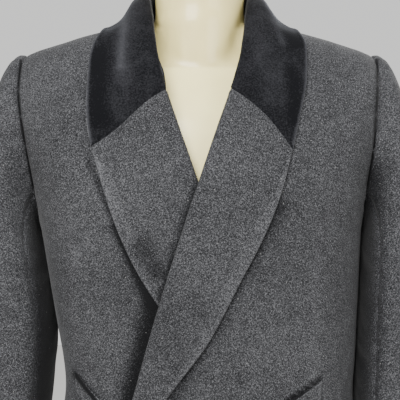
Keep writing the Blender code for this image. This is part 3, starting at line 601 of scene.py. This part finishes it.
class Border:
    """The border of a sheet: how far it is, how far along it one is, and whether it is sewn."""

    def __init__(self, name, sheet):
        edges = [edge for edge in sheet.edges if edge.is_boundary]
        corners = dict.fromkeys(vert for edge in edges for vert in edge.verts)
        index = {vert: i for i, vert in enumerate(corners)}
        self.sewn = [partner(name, vert.co) is not None for vert in corners]
        self.places = [vert.co.copy() for vert in corners]
        self.neighbours = []
        for vert in corners:
            near = [edge.other_vert(vert) for edge in vert.link_edges if edge.is_boundary]
            self.neighbours.append([index[other] for other in near])
        self.tree = kdtree.KDTree(len(self.places))
        for i, place in enumerate(self.places):
            self.tree.insert(place, i)
        self.tree.balance()
        self.along = self.walk()

    def walk(self):
        """How far along the border each corner is, from an arbitrary start."""
        along = [0.0] * len(self.places)
        seen, here, length = {0}, 0, 0.0
        while True:
            onward = [other for other in self.neighbours[here] if other not in seen]
            if not onward:
                return along
            length += (self.places[onward[0]] - self.places[here]).length
            here = onward[0]
            along[here] = length
            seen.add(here)

    def look(self, point, reach):
        """The distance to the border, its place along it, and if it is sewn; None if further."""
        _, i, distance = self.tree.find(point)
        if distance > reach:
            return None
        best = distance
        for other in self.neighbours[i]:
            a, b = self.places[i], self.places[other]
            t = max(0.0, min(1.0, (point - a).dot(b - a) / max((b - a).length_squared, 1e-12)))
            best = min(best, (point - a.lerp(b, t)).length)
        return best, self.along[i], self.sewn[i]


borders = {name: Border(name, sheet) for name, sheet in sheets.items()}
for name, border in borders.items():
    share = sum(border.sewn) / len(border.sewn)
    print(name, "border", round(max(border.along), 2), "m, sewn", round(share, 2))

# %% [markdown]
# ## Creases that the picture shows
# Each crease is a soft trough or ridge along a line of the picture, on one piece, fading out at
# both ends. The table gives its ends and its half width in steps of the picture and its height
# in millimetres, below zero for a trough. A slow noise makes no two stretches alike. A line
# that leaves the picture runs on outside it.

# %% Soft steps and ridges


def smooth_step(value, low, high):
    t = max(0.0, min(1.0, (value - low) / (high - low)))
    return t * t * (3 - 2 * t)


def bell(value, width):
    return math.exp(-((value / width) ** 2))


def beside(line, where, fade):
    """How far beside a line a place in the picture is, and the line's strength there, up to 1."""
    start, end = Vector(line.start), Vector(line.end)
    way = end - start
    along = (where - start).dot(way) / way.length_squared
    if not 0.0 < along < 1.0:
        return None
    across = (where - start - way * along).length
    return across, smooth_step(along, 0, fade) * smooth_step(1 - along, 0, fade)


print("a line has half its strength", round(math.sqrt(math.log(2)), 2), "widths from its middle")

# %% Table of creases
Crease = namedtuple("Crease", "piece start end width height")
CREASES = (
    Crease("front_under", (136, 296), (128, 520), 15, -2.2),
    Crease("front_under", (76, 232), (70, 470), 7, 0.9),
    Crease("front_under", (96, 250), (92, 430), 7, -0.7),
    Crease("front_under", (64, 30), (72, 96), 12, -1.2),
    Crease("front_under", (50, 110), (62, 210), 8, 0.7),
    Crease("front_upper", (316, 236), (308, 470), 7, 1.0),
    Crease("front_upper", (294, 244), (288, 480), 8, -1.1),
    Crease("front_upper", (262, 300), (250, 520), 9, 0.7),
    Crease("front_upper", (338, 70), (350, 170), 10, -1.2),
    Crease("front_upper", (300, 90), (306, 190), 9, 0.6),
    Crease("lapel_under", (120, 231), (176, 226), 5, -0.9),
    Crease("lapel_under", (138, 236), (152, 268), 11, -1.5),
    Crease("lapel_under", (106, 160), (150, 292), 3, -0.8),
    Crease("lapel_under", (138, 130), (146, 190), 12, 0.9),
    Crease("lapel_upper", (228, 198), (264, 234), 5, -0.9),
    Crease("lapel_upper", (208, 196), (202, 284), 9, 0.9),
    Crease("lapel_upper", (276, 128), (238, 196), 8, 0.6),
    Crease("sleeve_top_left", (366, 152), (402, 182), 5, -1.8),
    Crease("sleeve_top_left", (362, 212), (404, 232), 8, -1.2),
    Crease("sleeve_top_left", (372, 260), (410, 262), 7, 0.9),
    Crease("sleeve_top_left", (366, 306), (410, 330), 8, -1.5),
    Crease("sleeve_top_right", (-8, 126), (26, 128), 4, 0.9),
    Crease("sleeve_top_right", (-6, 137), (28, 139), 4, -0.7),
    Crease("sleeve_top_right", (0, 147), (30, 151), 4, 0.9),
    Crease("sleeve_top_right", (-4, 210), (26, 196), 7, -1.2),
    Crease("sleeve_top_right", (-8, 268), (24, 282), 7, 0.8),
    Crease("sleeve_top_right", (-10, 336), (22, 352), 7, -2.0),
    Crease("sleeve_top_left", (357, 320), (351, 490), 8, 3.0),
    Crease("sleeve_under_left", (357, 320), (351, 490), 8, 3.0),
    Crease("top_collar", (134, -20), (116, 84), 7, 0.6),
    Crease("top_collar", (267, 4), (286, 46), 2.5, 0.5),
)
CREASE_FADE = 0.28
CREASE_NOISE = 45.0
CREASE_REACH = 3


def crease_height(crease, where, point):
    found = beside(crease, where, CREASE_FADE)
    if found is None or found[0] > CREASE_REACH * crease.width:
        return 0.0
    across, ends = found
    uneven = 1 + 0.5 * noise.noise(point * CREASE_NOISE)
    return crease.height * MM * bell(across, crease.width) * ends * uneven


print("creases from the picture:", len(CREASES))

# %% [markdown]
# ## Painted light and shade
# The colour of the cloth also carries painted light and shade. Painted shadow darkens the
# narrow places between two layers beside the lapels' edges, the pocket mouths, the armhole
# seams, the gaps between the sleeves and the body and the outer parts of the velvet collar.
# Painted highlight and sheen lighten the lapels' edges, two folds of the fronts and stripes down
# the velvet collar, and a pale line is painted along the under collar's rim. A second table of
# the same kind gives these stretches, and two chains of short dark ones follow the armhole
# seams. The strengths are kept with the points as a number, which the wool and the velvet add
# to their colour.

# %% Table of painted light and shade
Band = namedtuple("Band", "piece start end width strength")
BAND_FADE = 0.10
ARMHOLES = (
    (
        ((21, 58), (18.5, 91), (20.4, 117), (26.1, 147.5), (33.8, 190)),
        ("front_under", "sleeve_top_right"),
    ),
    (
        ((376.7, 58), (377.3, 85), (376, 115), (373.5, 150), (366, 188)),
        ("front_upper", "sleeve_top_left"),
    ),
)
BANDS = (
    # Painted shadow on the under front beside the edges of the upper front and the under lapel.
    Band("front_under", (158, 290), (118, 450), 10, -1.3),
    Band("front_under", (112, 218), (157, 312), 7, -0.9),
    # Painted shade of the pocket mouths: dark lines on the welts' upper edges and on the fronts.
    Band("pocket_welt_right", (70, 368), (125, 438), 1.5, -2.8),
    Band("pocket_welt_left", (240, 438), (326, 376), 1.5, -2.8),
    Band("front_under", (71, 370), (126, 437), 2, -1.6),
    Band("front_upper", (241, 435), (325, 375), 2, -1.6),
    # Painted shadow beside the under lapel's edge, and a painted highlight on a fold of the under
    # front.
    Band("front_under", (84, 150), (152, 312), 3.5, -0.6),
    Band("front_under", (76, 240), (76, 330), 7, 0.12),
    # Painted shadow below the upper lapel's edge, and a painted highlight on a fold of the upper
    # front.
    Band("front_upper", (290, 190), (160, 420), 7, -0.6),
    Band("front_upper", (318, 250), (312, 420), 8, 0.12),
    # Painted shade on the under lapel's lower end, and the painted shadow of the upper lapel's fold.
    Band("lapel_under", (134, 238), (160, 280), 11, -0.45),
    Band("lapel_under", (201, 178), (160, 308), 5, -0.9),
    # Painted highlights along the lapels' free edges.
    Band("lapel_under", (92, 150), (158, 300), 5, 0.22),
    Band("lapel_upper", (292, 165), (178, 392), 5, 0.22),
    # Painted shade in the gaps between the sleeves and the body.
    Band("sleeve_top_left", (372, 150), (364, 440), 13, -0.9),
    Band("sleeve_top_right", (52, 180), (44, 440), 14, -1.0),
    Band("sleeve_under_left", (362, 160), (353, 440), 13, -1.6),
    Band("sleeve_under_right", (52, 190), (46, 440), 14, -1.6),
    # Painted shade in the grooves of the armhole seams.
    *(
        Band(piece, start, end, 1.3, -1.5)
        for line, pieces in ARMHOLES
        for start, end in zip(line, line[1:])
        for piece in pieces
    ),
    # Painted sheen stripes down the velvet collar's roll.
    Band("top_collar", (127, -10), (119, 74), 4, 0.8),
    Band("top_collar", (133, -10), (120, 90), 10, 0.35),
    Band("top_collar", (124, 60), (126, 126), 12, 0.2),
    # Painted shade on the outer parts of the velvet collar.
    Band("top_collar", (97, 40), (101, 132), 9, -0.4),
    Band("top_collar", (284, 6), (299, 50), 6, -0.5),
    Band("top_collar", (290, 60), (296, 128), 8, -0.35),
    # A pale line painted along the under collar's rim.
    Band("under_collar", (98, 34), (88, 80), 3, 1.7),
    Band("under_collar", (88, 80), (90, 140), 3, 1.7),
    Band("under_collar", (301, 34), (306, 90), 3, 1.7),
    Band("under_collar", (306, 90), (293, 150), 3, 1.7),
    # Painted sheen along a fold of the velvet collar.
    Band("top_collar", (267, 2), (285, 48), 3, 0.5),
    Band("top_collar", (250, 10), (286, 110), 14, 0.25),
)


def band_strength(band, where):
    found = beside(band, where, BAND_FADE)
    return band.strength * bell(found[0], band.width) * found[1] if found else 0.0


print("bands of tone:", len(BANDS))

# %% [markdown]
# ## Drape that the picture doesn't show
# The picture ends at the hips. Below, and at the sides and back, the cloth hangs as such a coat
# does: the skirt falls in flutes that deepen towards the hem, the back has a shallow hollow
# each side of its seam at the shoulder blades and a faint fold at the waist, and the sleeves
# crumple at the elbow. The flutes are one function of the angle round the body for all the
# panels, so that layers that lie on each other move together. They spare the buttoned front,
# which is two layers thick.

# %% Flutes, back and elbows
Flute = namedtuple("Flute", "count share turn")
FLUTES = (Flute(5, 0.50, 0.4), Flute(8, 0.32, 1.9), Flute(13, 0.18, 0.7))
FLUTE_TOP, FLUTE_HEM, FLUTE_DEPTH = 0.90, 0.47, 6.5 * MM
FRONT_FLUTE_TOP, FRONT_FLUTE_DEPTH = 0.70, 3.0 * MM
BUTTONED = (0.55, 1.10)
UNEVEN, UNEVEN_STEP = 0.35, 3.1
BLADE_X, BLADE_Z, BLADE_HOLLOW = 0.055, 1.23, 1.6 * MM
BLADE_ACROSS, BLADE_ALONG = 0.035, 0.09
WAIST_Z, WAIST_RISE, WAIST_HALF, WAIST_FOLD = 1.02, 0.3, 0.018, 0.8 * MM
ELBOW_Z, ELBOW_SPAN, ELBOW_DEPTH = 1.09, 0.10, 1.9 * MM
ELBOW_FRONT, ELBOW_BACK = 0.03, -0.05
FOLD_ROUND, FOLD_LONG, FOLD_LEAN_X, FOLD_LEAN_Y = 9, 34, 10, 12
FOLD_SHARPNESS, FOLD_SUNK, FOLD_BACK = 2.6, 0.4, 0.35
SLACK, SLACK_COARSE, SLACK_FINE = 0.45 * MM, 19, 47


def body_drape(point):
    around = math.atan2(point.x, -point.y)
    wave = sum(f.share * math.cos(f.count * around + f.turn) for f in FLUTES)
    place = Vector((math.sin(around), math.cos(around), point.z))
    wave += UNEVEN * noise.noise(place * UNEVEN_STEP)
    sides = smooth_step(abs(around), *BUTTONED)
    deep = FLUTE_DEPTH * smooth_step(FLUTE_TOP - point.z, 0, FLUTE_TOP - FLUTE_HEM) * sides
    plain = FRONT_FLUTE_TOP - point.z
    deep += FRONT_FLUTE_DEPTH * smooth_step(plain, 0, FRONT_FLUTE_TOP - FLUTE_HEM) * (1 - sides)
    hollow = 0.0
    if point.y > 0:
        across = bell(abs(point.x) - BLADE_X, BLADE_ACROSS)
        hollow = BLADE_HOLLOW * across * bell(point.z - BLADE_Z, BLADE_ALONG)
        rise = WAIST_RISE * abs(point.x)
        hollow += WAIST_FOLD * bell(point.z - WAIST_Z + rise, WAIST_HALF) * sides
    return wave * deep - hollow


def arm_drape(point):
    leaning = point.z * FOLD_LONG + point.x * FOLD_LEAN_X - point.y * FOLD_LEAN_Y
    place = Vector((point.x * FOLD_ROUND, point.y * FOLD_ROUND, leaning))
    folds = 1 - FOLD_SHARPNESS * abs(noise.noise(place))
    near = bell(point.z - ELBOW_Z, ELBOW_SPAN)
    inner = smooth_step(-point.y, ELBOW_BACK, ELBOW_FRONT)
    share = FOLD_BACK + (1 - FOLD_BACK) * inner
    return ELBOW_DEPTH * folds * near * share - FOLD_SUNK * ELBOW_DEPTH * near


def slack(point):
    fine = noise.noise(point * SLACK_FINE)
    return SLACK * (noise.noise(point * SLACK_COARSE) + 0.5 * fine)


print("flutes round the skirt:", len(FLUTES), "waves, up to", FLUTE_DEPTH / MM, "mm")

# %% [markdown]
# ## Press and sculpt
# Every point of a sheet moves along its own normal by the sum of these heights. Where two
# borders are sewn, both go to the line half way between them, so the seam closes. The sleeves'
# heads also get the short puckers of cloth that is eased into an armhole. A number kept with
# each point is 1 on a free edge and fades inwards. The wool and the velvet lighten the edge by
# it: partly the wear of a pressed edge, which has less nap, and partly painted sheen.

# %% Heights at the border
SEAM_DEPTH, SEAM_HALF = 0.7 * MM, 3 * MM
SWELL, SWELL_AT, SWELL_HALF = 0.35 * MM, 6.5 * MM, 3 * MM
TURN, TURN_HALF = 0.5 * MM, 1.5 * MM
FULL, FULL_TO, FULL_END = 0.45 * MM, 4 * MM, 7 * MM
STITCH_AT, STITCH_HALF = 6.5 * MM, 1.2 * MM
STITCH_DEPTH, STITCH_STEP = 0.2 * MM, 7 * MM
BORDER_REACH = 12 * MM
WORN_REACH = 7 * MM
EASE_REACH, EASE_DEPTH, EASE_STEP = 26 * MM, 0.55 * MM, 15 * MM
EASE_FROM, EASE_FULL, EASE_TO = 2 * MM, 7 * MM, 9 * MM
EASE_SECOND, EASE_SHARE = 290, 0.6
EASED_ABOVE = 1.28
TUCK = 0.5 * MM
FACING = 0.3


def border_height(distance, along, sewn):
    if sewn:
        valley = SEAM_DEPTH * (1 - smooth_step(distance, 0, SEAM_HALF))
        return SWELL * bell(distance - SWELL_AT, SWELL_HALF) - valley
    turned = TURN * (1 - smooth_step(distance, 0, TURN_HALF))
    full = FULL * smooth_step(distance, 0, TURN_HALF)
    full *= 1 - smooth_step(distance, FULL_TO, FULL_END)
    stitch = 0.6 + 0.4 * math.cos(math.tau * along / STITCH_STEP)
    return full - turned - STITCH_DEPTH * stitch * bell(distance - STITCH_AT, STITCH_HALF)


def ease_height(distance, along):
    """The sleeve's head is eased into the armhole, which leaves short soft puckers."""
    fade = smooth_step(distance, EASE_FROM, EASE_FULL)
    fade *= 1 - smooth_step(distance, EASE_TO, EASE_REACH)
    second = EASE_SHARE * math.cos(along * EASE_SECOND + 1)
    uneven = math.cos(math.tau * along / EASE_STEP) + second
    return EASE_DEPTH * fade * uneven * EASE_SHARE


# %% Sculpt all sheets


def sculpt(name):
    sheet, border = sheets[name], borders[name]
    worn = sheet.verts.layers.float.new("worn")
    tone = sheet.verts.layers.float.new("tone")
    creases = [crease for crease in CREASES if crease.piece == name]
    bands = [band for band in BANDS if band.piece == name]
    heights = {}
    for vert in sheet.verts:
        point = vert.co
        height = slack(point)
        if name.startswith("sleeve"):
            height += arm_drape(point)
        elif name.startswith(("front", "back", "pocket")):
            height += body_drape(point)
        if name == "under_collar":
            height -= TUCK
        if vert.normal.y < FACING:
            where = in_picture(point)
            height += sum(crease_height(crease, where, point) for crease in creases)
            # Painted light and shade from the table of bands, kept with the point.
            vert[tone] = sum(band_strength(band, where) for band in bands)
        found = border.look(point, EASE_REACH)
        if found and name != "under_collar":
            distance, along, sewn = found
            if distance < BORDER_REACH:
                height += border_height(distance, along, sewn)
                if not sewn:
                    # A lighter free edge: partly wear of the pressed edge, partly painted sheen.
                    vert[worn] = 1 - smooth_step(distance, 0, WORN_REACH)
            if sewn and name.startswith("sleeve_top") and point.z > EASED_ABOVE:
                height += ease_height(distance, along)
        heights[vert] = height
    moves = {}
    for vert, height in heights.items():
        meeting, way = vert.co.copy(), vert.normal.copy()
        other = partner(name, vert.co) if vert.is_boundary else None
        if other:
            meeting = meeting.lerp(other[0], 0.5)
            way = (way + other[1]).normalized()
        moves[vert] = meeting + way * height
    for vert, place in moves.items():
        vert.co = place
    sheet.normal_update()
    return min(heights.values()) / MM, max(heights.values()) / MM


for piece in PIECES:
    low, high = sculpt(piece.node)
    print(piece.node, "moved from", round(low, 2), "to", round(high, 2), "mm")

# %% [markdown]
# ## From sheets to cloth
# Solidify gives each sheet the wall of its cloth, behind the sculpted side, and a narrow bevel
# takes the knife edge off the rims. Each piece takes the place of its plain solid, which is hidden.

# %% Make the cloth pieces
RIM_BEVEL = 0.45 * MM
RIM_SEGMENTS = 2


def show(name, drawn, finish, slot, *nodes):
    """An object from a bmesh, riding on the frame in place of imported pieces."""
    mesh = bpy.data.meshes.new(name)
    drawn.to_mesh(mesh)
    drawn.free()
    mesh.shade_smooth()
    mesh.materials.append(finish)
    made = bpy.data.objects.new(name, mesh)
    bpy.context.scene.collection.objects.link(made)
    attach(made, "root")
    if nodes:
        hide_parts(*nodes)
    return made


for piece in PIECES:
    cloth = show(piece.node + "_cloth", sheets[piece.node], piece.finish, piece.slot, piece.node)
    wall = cloth.modifiers.new("wall", "SOLIDIFY")
    wall.thickness = piece.wall
    wall.offset = -1
    rim = cloth.modifiers.new("rim", "BEVEL")
    rim.width = RIM_BEVEL
    rim.segments = RIM_SEGMENTS
    rim.limit_method = "ANGLE"
    rim.angle_limit = RIM_ANGLE
print("cloth pieces:", len(PIECES))

# %% [markdown]
# ## The form
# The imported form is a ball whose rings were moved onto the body's sections. Its own corners
# are right, so we only round the facets between them. Edges that are meant to be sharp, such
# as the rim of the neck, are marked with a crease first, so that they stay crisp.

# %% Round the form
FORM_LEVELS = 2
SHARP = math.radians(50)
CRISPNESS = 0.8

body = welded(FORM)
join_to_quads(body)
sharpness = body.edges.layers.float.new("crease_edge")
for edge in body.edges:
    if edge.calc_face_angle(0) > SHARP:
        edge[sharpness] = CRISPNESS
body_mesh = bpy.data.meshes.new("form_plain")
body.to_mesh(body_mesh)
body.free()
form = show("form_body", rounded(body_mesh, FORM_LEVELS), cream, "cream_form", FORM)
print("form faces:", len(form.data.polygons))

# %% [markdown]
# ## The stand
# The base is a pressed steel disc with a rolled rim, and the pole stands in a boss at its
# middle and carries a cup under the form. Its two tubes meet in a narrow joint. Both pieces
# are turned shapes, so each is half a profile that is spun round the axis. The radius of the
# base and all the heights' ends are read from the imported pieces.

# %% Turn a profile
TURN_STEPS = 96
TURNED_RIM = math.radians(30)


def turned(profile, steps):
    """A solid of revolution about Z from (radius, height) pairs that start and end on the axis."""
    drawn = bmesh.new()
    corners = [drawn.verts.new((radius, 0, height)) for radius, height in profile]
    edges = [drawn.edges.new(pair) for pair in zip(corners, corners[1:])]
    bmesh.ops.spin(
        drawn,
        geom=corners + edges,
        axis=(0, 0, 1),
        cent=(0, 0, 0),
        angle=math.tau,
        steps=steps,
        use_merge=True,
    )
    bmesh.ops.remove_doubles(drawn, verts=drawn.verts, dist=WELD)
    bmesh.ops.recalc_face_normals(drawn, faces=drawn.faces)
    return drawn


def soften_rims(drawn, width, segments):
    """Bevels the edges of a turned shape that are sharper than 30 degrees."""
    rims = [edge for edge in drawn.edges if edge.calc_face_angle(0) > TURNED_RIM]
    bmesh.ops.bevel(
        drawn,
        geom=rims,
        offset=width,
        segments=segments,
        profile=0.5,
        affect="EDGES",
        material=-1,
        clamp_overlap=True,
    )


print("steps round a turned piece:", TURN_STEPS)

# %% Turn the foot
BOSS_TOP, BOSS_SHOULDER, BOSS_FOOT = 45 * MM, 52 * MM, 60 * MM
BOSS_RISE, RIM_DROP, GROOVE = 4 * MM, 3 * MM, 0.8 * MM

base_low, base_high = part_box("stand_base")
base_radius, plate = base_high[0], base_high[2] - BOSS_RISE
base_drawn = turned(
    [
        (0, base_high[2]),
        (BOSS_TOP, base_high[2]),
        (BOSS_SHOULDER, base_high[2] - 1.5 * MM),
        (BOSS_FOOT, plate),
        (base_radius - 9 * MM, plate),
        (base_radius - 7 * MM, plate - GROOVE),
        (base_radius - 5 * MM, plate),
        (base_radius, plate - RIM_DROP),
        (base_radius, 0),
        (0, 0),
    ],
    TURN_STEPS,
)
soften_rims(base_drawn, 0.8 * MM, 3)
show("stand_foot", base_drawn, steel, "stand_steel", "stand_base")
print("base radius", round(base_radius, 3))

# %% Turn the pole
POLE_RADIUS = 16 * MM
CUP_RADIUS, CUP_RIM, CUP_DEPTH = 40 * MM, 6 * MM, 30 * MM
JOINT_TOP, JOINT_FOOT, JOINT_NECK = 0.360, 0.356, 1 * MM

pole_low, pole_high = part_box("stand_pole")
pole_drawn = turned(
    [
        (0, pole_high[2]),
        (CUP_RADIUS, pole_high[2]),
        (CUP_RADIUS, pole_high[2] - CUP_RIM),
        (POLE_RADIUS + 3 * MM, pole_high[2] - CUP_DEPTH + 2 * MM),
        (POLE_RADIUS, pole_high[2] - CUP_DEPTH),
        (POLE_RADIUS, JOINT_TOP),
        (POLE_RADIUS - JOINT_NECK, JOINT_TOP - JOINT_NECK),
        (POLE_RADIUS - JOINT_NECK, JOINT_FOOT + JOINT_NECK),
        (POLE_RADIUS, JOINT_FOOT),
        (POLE_RADIUS, pole_low[2]),
        (0, pole_low[2]),
    ],
    TURN_STEPS // 2,
)
soften_rims(pole_drawn, 0.4 * MM, 2)
show("stand_tube", pole_drawn, steel, "stand_steel", "stand_pole")
print("pole from", round(pole_low[2], 3), "to", round(pole_high[2], 3))

# %% [markdown]
# ## Buttons
# A coat button is turned from horn: a fat rim, a sunk middle, and four holes that the thread
# crosses. We turn the profile, cut the holes with a Boolean, and sew two straps of thread over
# the middle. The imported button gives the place: its middle, and the way that its face looks.

# %% Turn and drill the buttons
BUTTON_RADIUS, BUTTON_THICK, BUTTON_DISH = 14.5 * MM, 4.5 * MM, 1.2 * MM
HOLE_RADIUS, HOLE_OUT = 1.15 * MM, 2.5 * MM
BUTTON_STEPS = 64
ROD_STEPS = 20
FACE_TURN = -0.75
BUTTONS = tuple(f"button_{hand}_{row}" for hand in ("left", "right") for row in (1, 2))


def button_frame(node):
    """The button's place: its back's middle, with Z out of its face."""
    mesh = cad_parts[node].data
    middle = sum((vert.co for vert in mesh.vertices), Vector()) / len(mesh.vertices)
    out = sum((p.normal * p.area for p in mesh.polygons if p.normal.y < FACE_TURN), Vector())
    out.normalize()
    depths = [(vert.co - middle).dot(out) for vert in mesh.vertices]
    turn = out.to_track_quat("Z", "Y").to_matrix().to_4x4()
    return Matrix.Translation(middle + out * min(depths)) @ turn


def rod(drawn, radius, height, place):
    return bmesh.ops.create_cone(
        drawn,
        cap_ends=True,
        segments=ROD_STEPS,
        radius1=radius,
        radius2=radius,
        depth=height,
        matrix=place,
    )


def drilled(solid, place_of_holes):
    """The solid with its holes cut through."""
    holes = bmesh.new()
    for x, y in place_of_holes:
        rod(holes, HOLE_RADIUS, 4 * BUTTON_THICK, Matrix.Translation((x, y, 0)))
    meshes = []
    for name, drawn in (("blank", solid), ("drill", holes)):
        mesh = bpy.data.meshes.new(name)
        drawn.to_mesh(mesh)
        drawn.free()
        meshes.append(bpy.data.objects.new(name, mesh))
        bpy.context.scene.collection.objects.link(meshes[-1])
    blank, drill = meshes
    cut = blank.modifiers.new("holes", "BOOLEAN")
    cut.object = drill
    cut.operation = "DIFFERENCE"
    result = bmesh.new()
    result.from_mesh(blank.evaluated_get(bpy.context.evaluated_depsgraph_get()).data)
    for made in meshes:
        bpy.data.objects.remove(made)
    return result


def button_blank():
    r, t, dish = BUTTON_RADIUS, BUTTON_THICK, BUTTON_DISH
    return turned(
        [
            (0, t - dish - 0.3 * MM),
            (r - 7.5 * MM, t - dish - 0.2 * MM),
            (r - 5.5 * MM, t - dish + 0.2 * MM),
            (r - 3.6 * MM, t - 0.3 * MM),
            (r - 2.6 * MM, t),
            (r - 1.4 * MM, t - 0.2 * MM),
            (r - 0.4 * MM, t - 0.9 * MM),
            (r, t - 1.9 * MM),
            (r - 0.5 * MM, 1.2 * MM),
            (r - 3.0 * MM, 0),
            (0, 0),
        ],
        BUTTON_STEPS,
    )


print("a button is", 2 * BUTTON_RADIUS / MM, "mm wide and", BUTTON_THICK / MM, "mm thick")

# %% Sew the buttons
HOLES = [(x * HOLE_OUT, y * HOLE_OUT) for x in (-1, 1) for y in (-1, 1)]
THREAD_RADIUS, THREAD_STEP, THREAD_SUNK, THREAD_DIVE = 0.5 * MM, 0.55 * MM, 0.1 * MM, 1.2 * MM


def straps():
    """Two straps of thread, each from one hole to the next."""
    sewn = bmesh.new()
    top = BUTTON_THICK - BUTTON_DISH
    lying = Matrix.Rotation(math.pi / 2, 4, "X")
    for x in (-1, 1):
        for side in (-1, 0, 1):
            middle = (x * HOLE_OUT + side * THREAD_STEP, 0, top - THREAD_SUNK)
            rod(sewn, THREAD_RADIUS, 2 * HOLE_OUT + MM, Matrix.Translation(middle) @ lying)
    for vert in sewn.verts:
        outer = smooth_step(abs(vert.co.y), HOLE_OUT - 0.2 * MM, HOLE_OUT + 0.5 * MM)
        vert.co.z -= outer * THREAD_DIVE
    return sewn


for node in BUTTONS:
    place = button_frame(node)
    button = drilled(button_blank(), HOLES)
    bmesh.ops.transform(button, matrix=place, verts=button.verts)
    show(node + "_horn", button, horn, "black_horn", node)
    sewing = straps()
    bmesh.ops.transform(sewing, matrix=place, verts=sewing.verts)
    show(node + "_thread", sewing, thread, "black_horn")
places = [button_frame(node).translation for node in BUTTONS]
print("buttons at", [tuple(round(value, 3) for value in place) for place in places])

# %% [markdown]
# ## Sizes
# The dressed coat may stand a little proud of the imported one, and no more. Both boxes are
# printed, so that they can be set against each other.

# %% Print the sizes and finish
dressed_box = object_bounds()
[[list(corner) for corner in box] for box in (cad_box, dressed_box)]
for name, box in (("packed", cad_box), ("dressed", dressed_box)):
    print(name, [[round(c, 4) for c in corner] for corner in box])
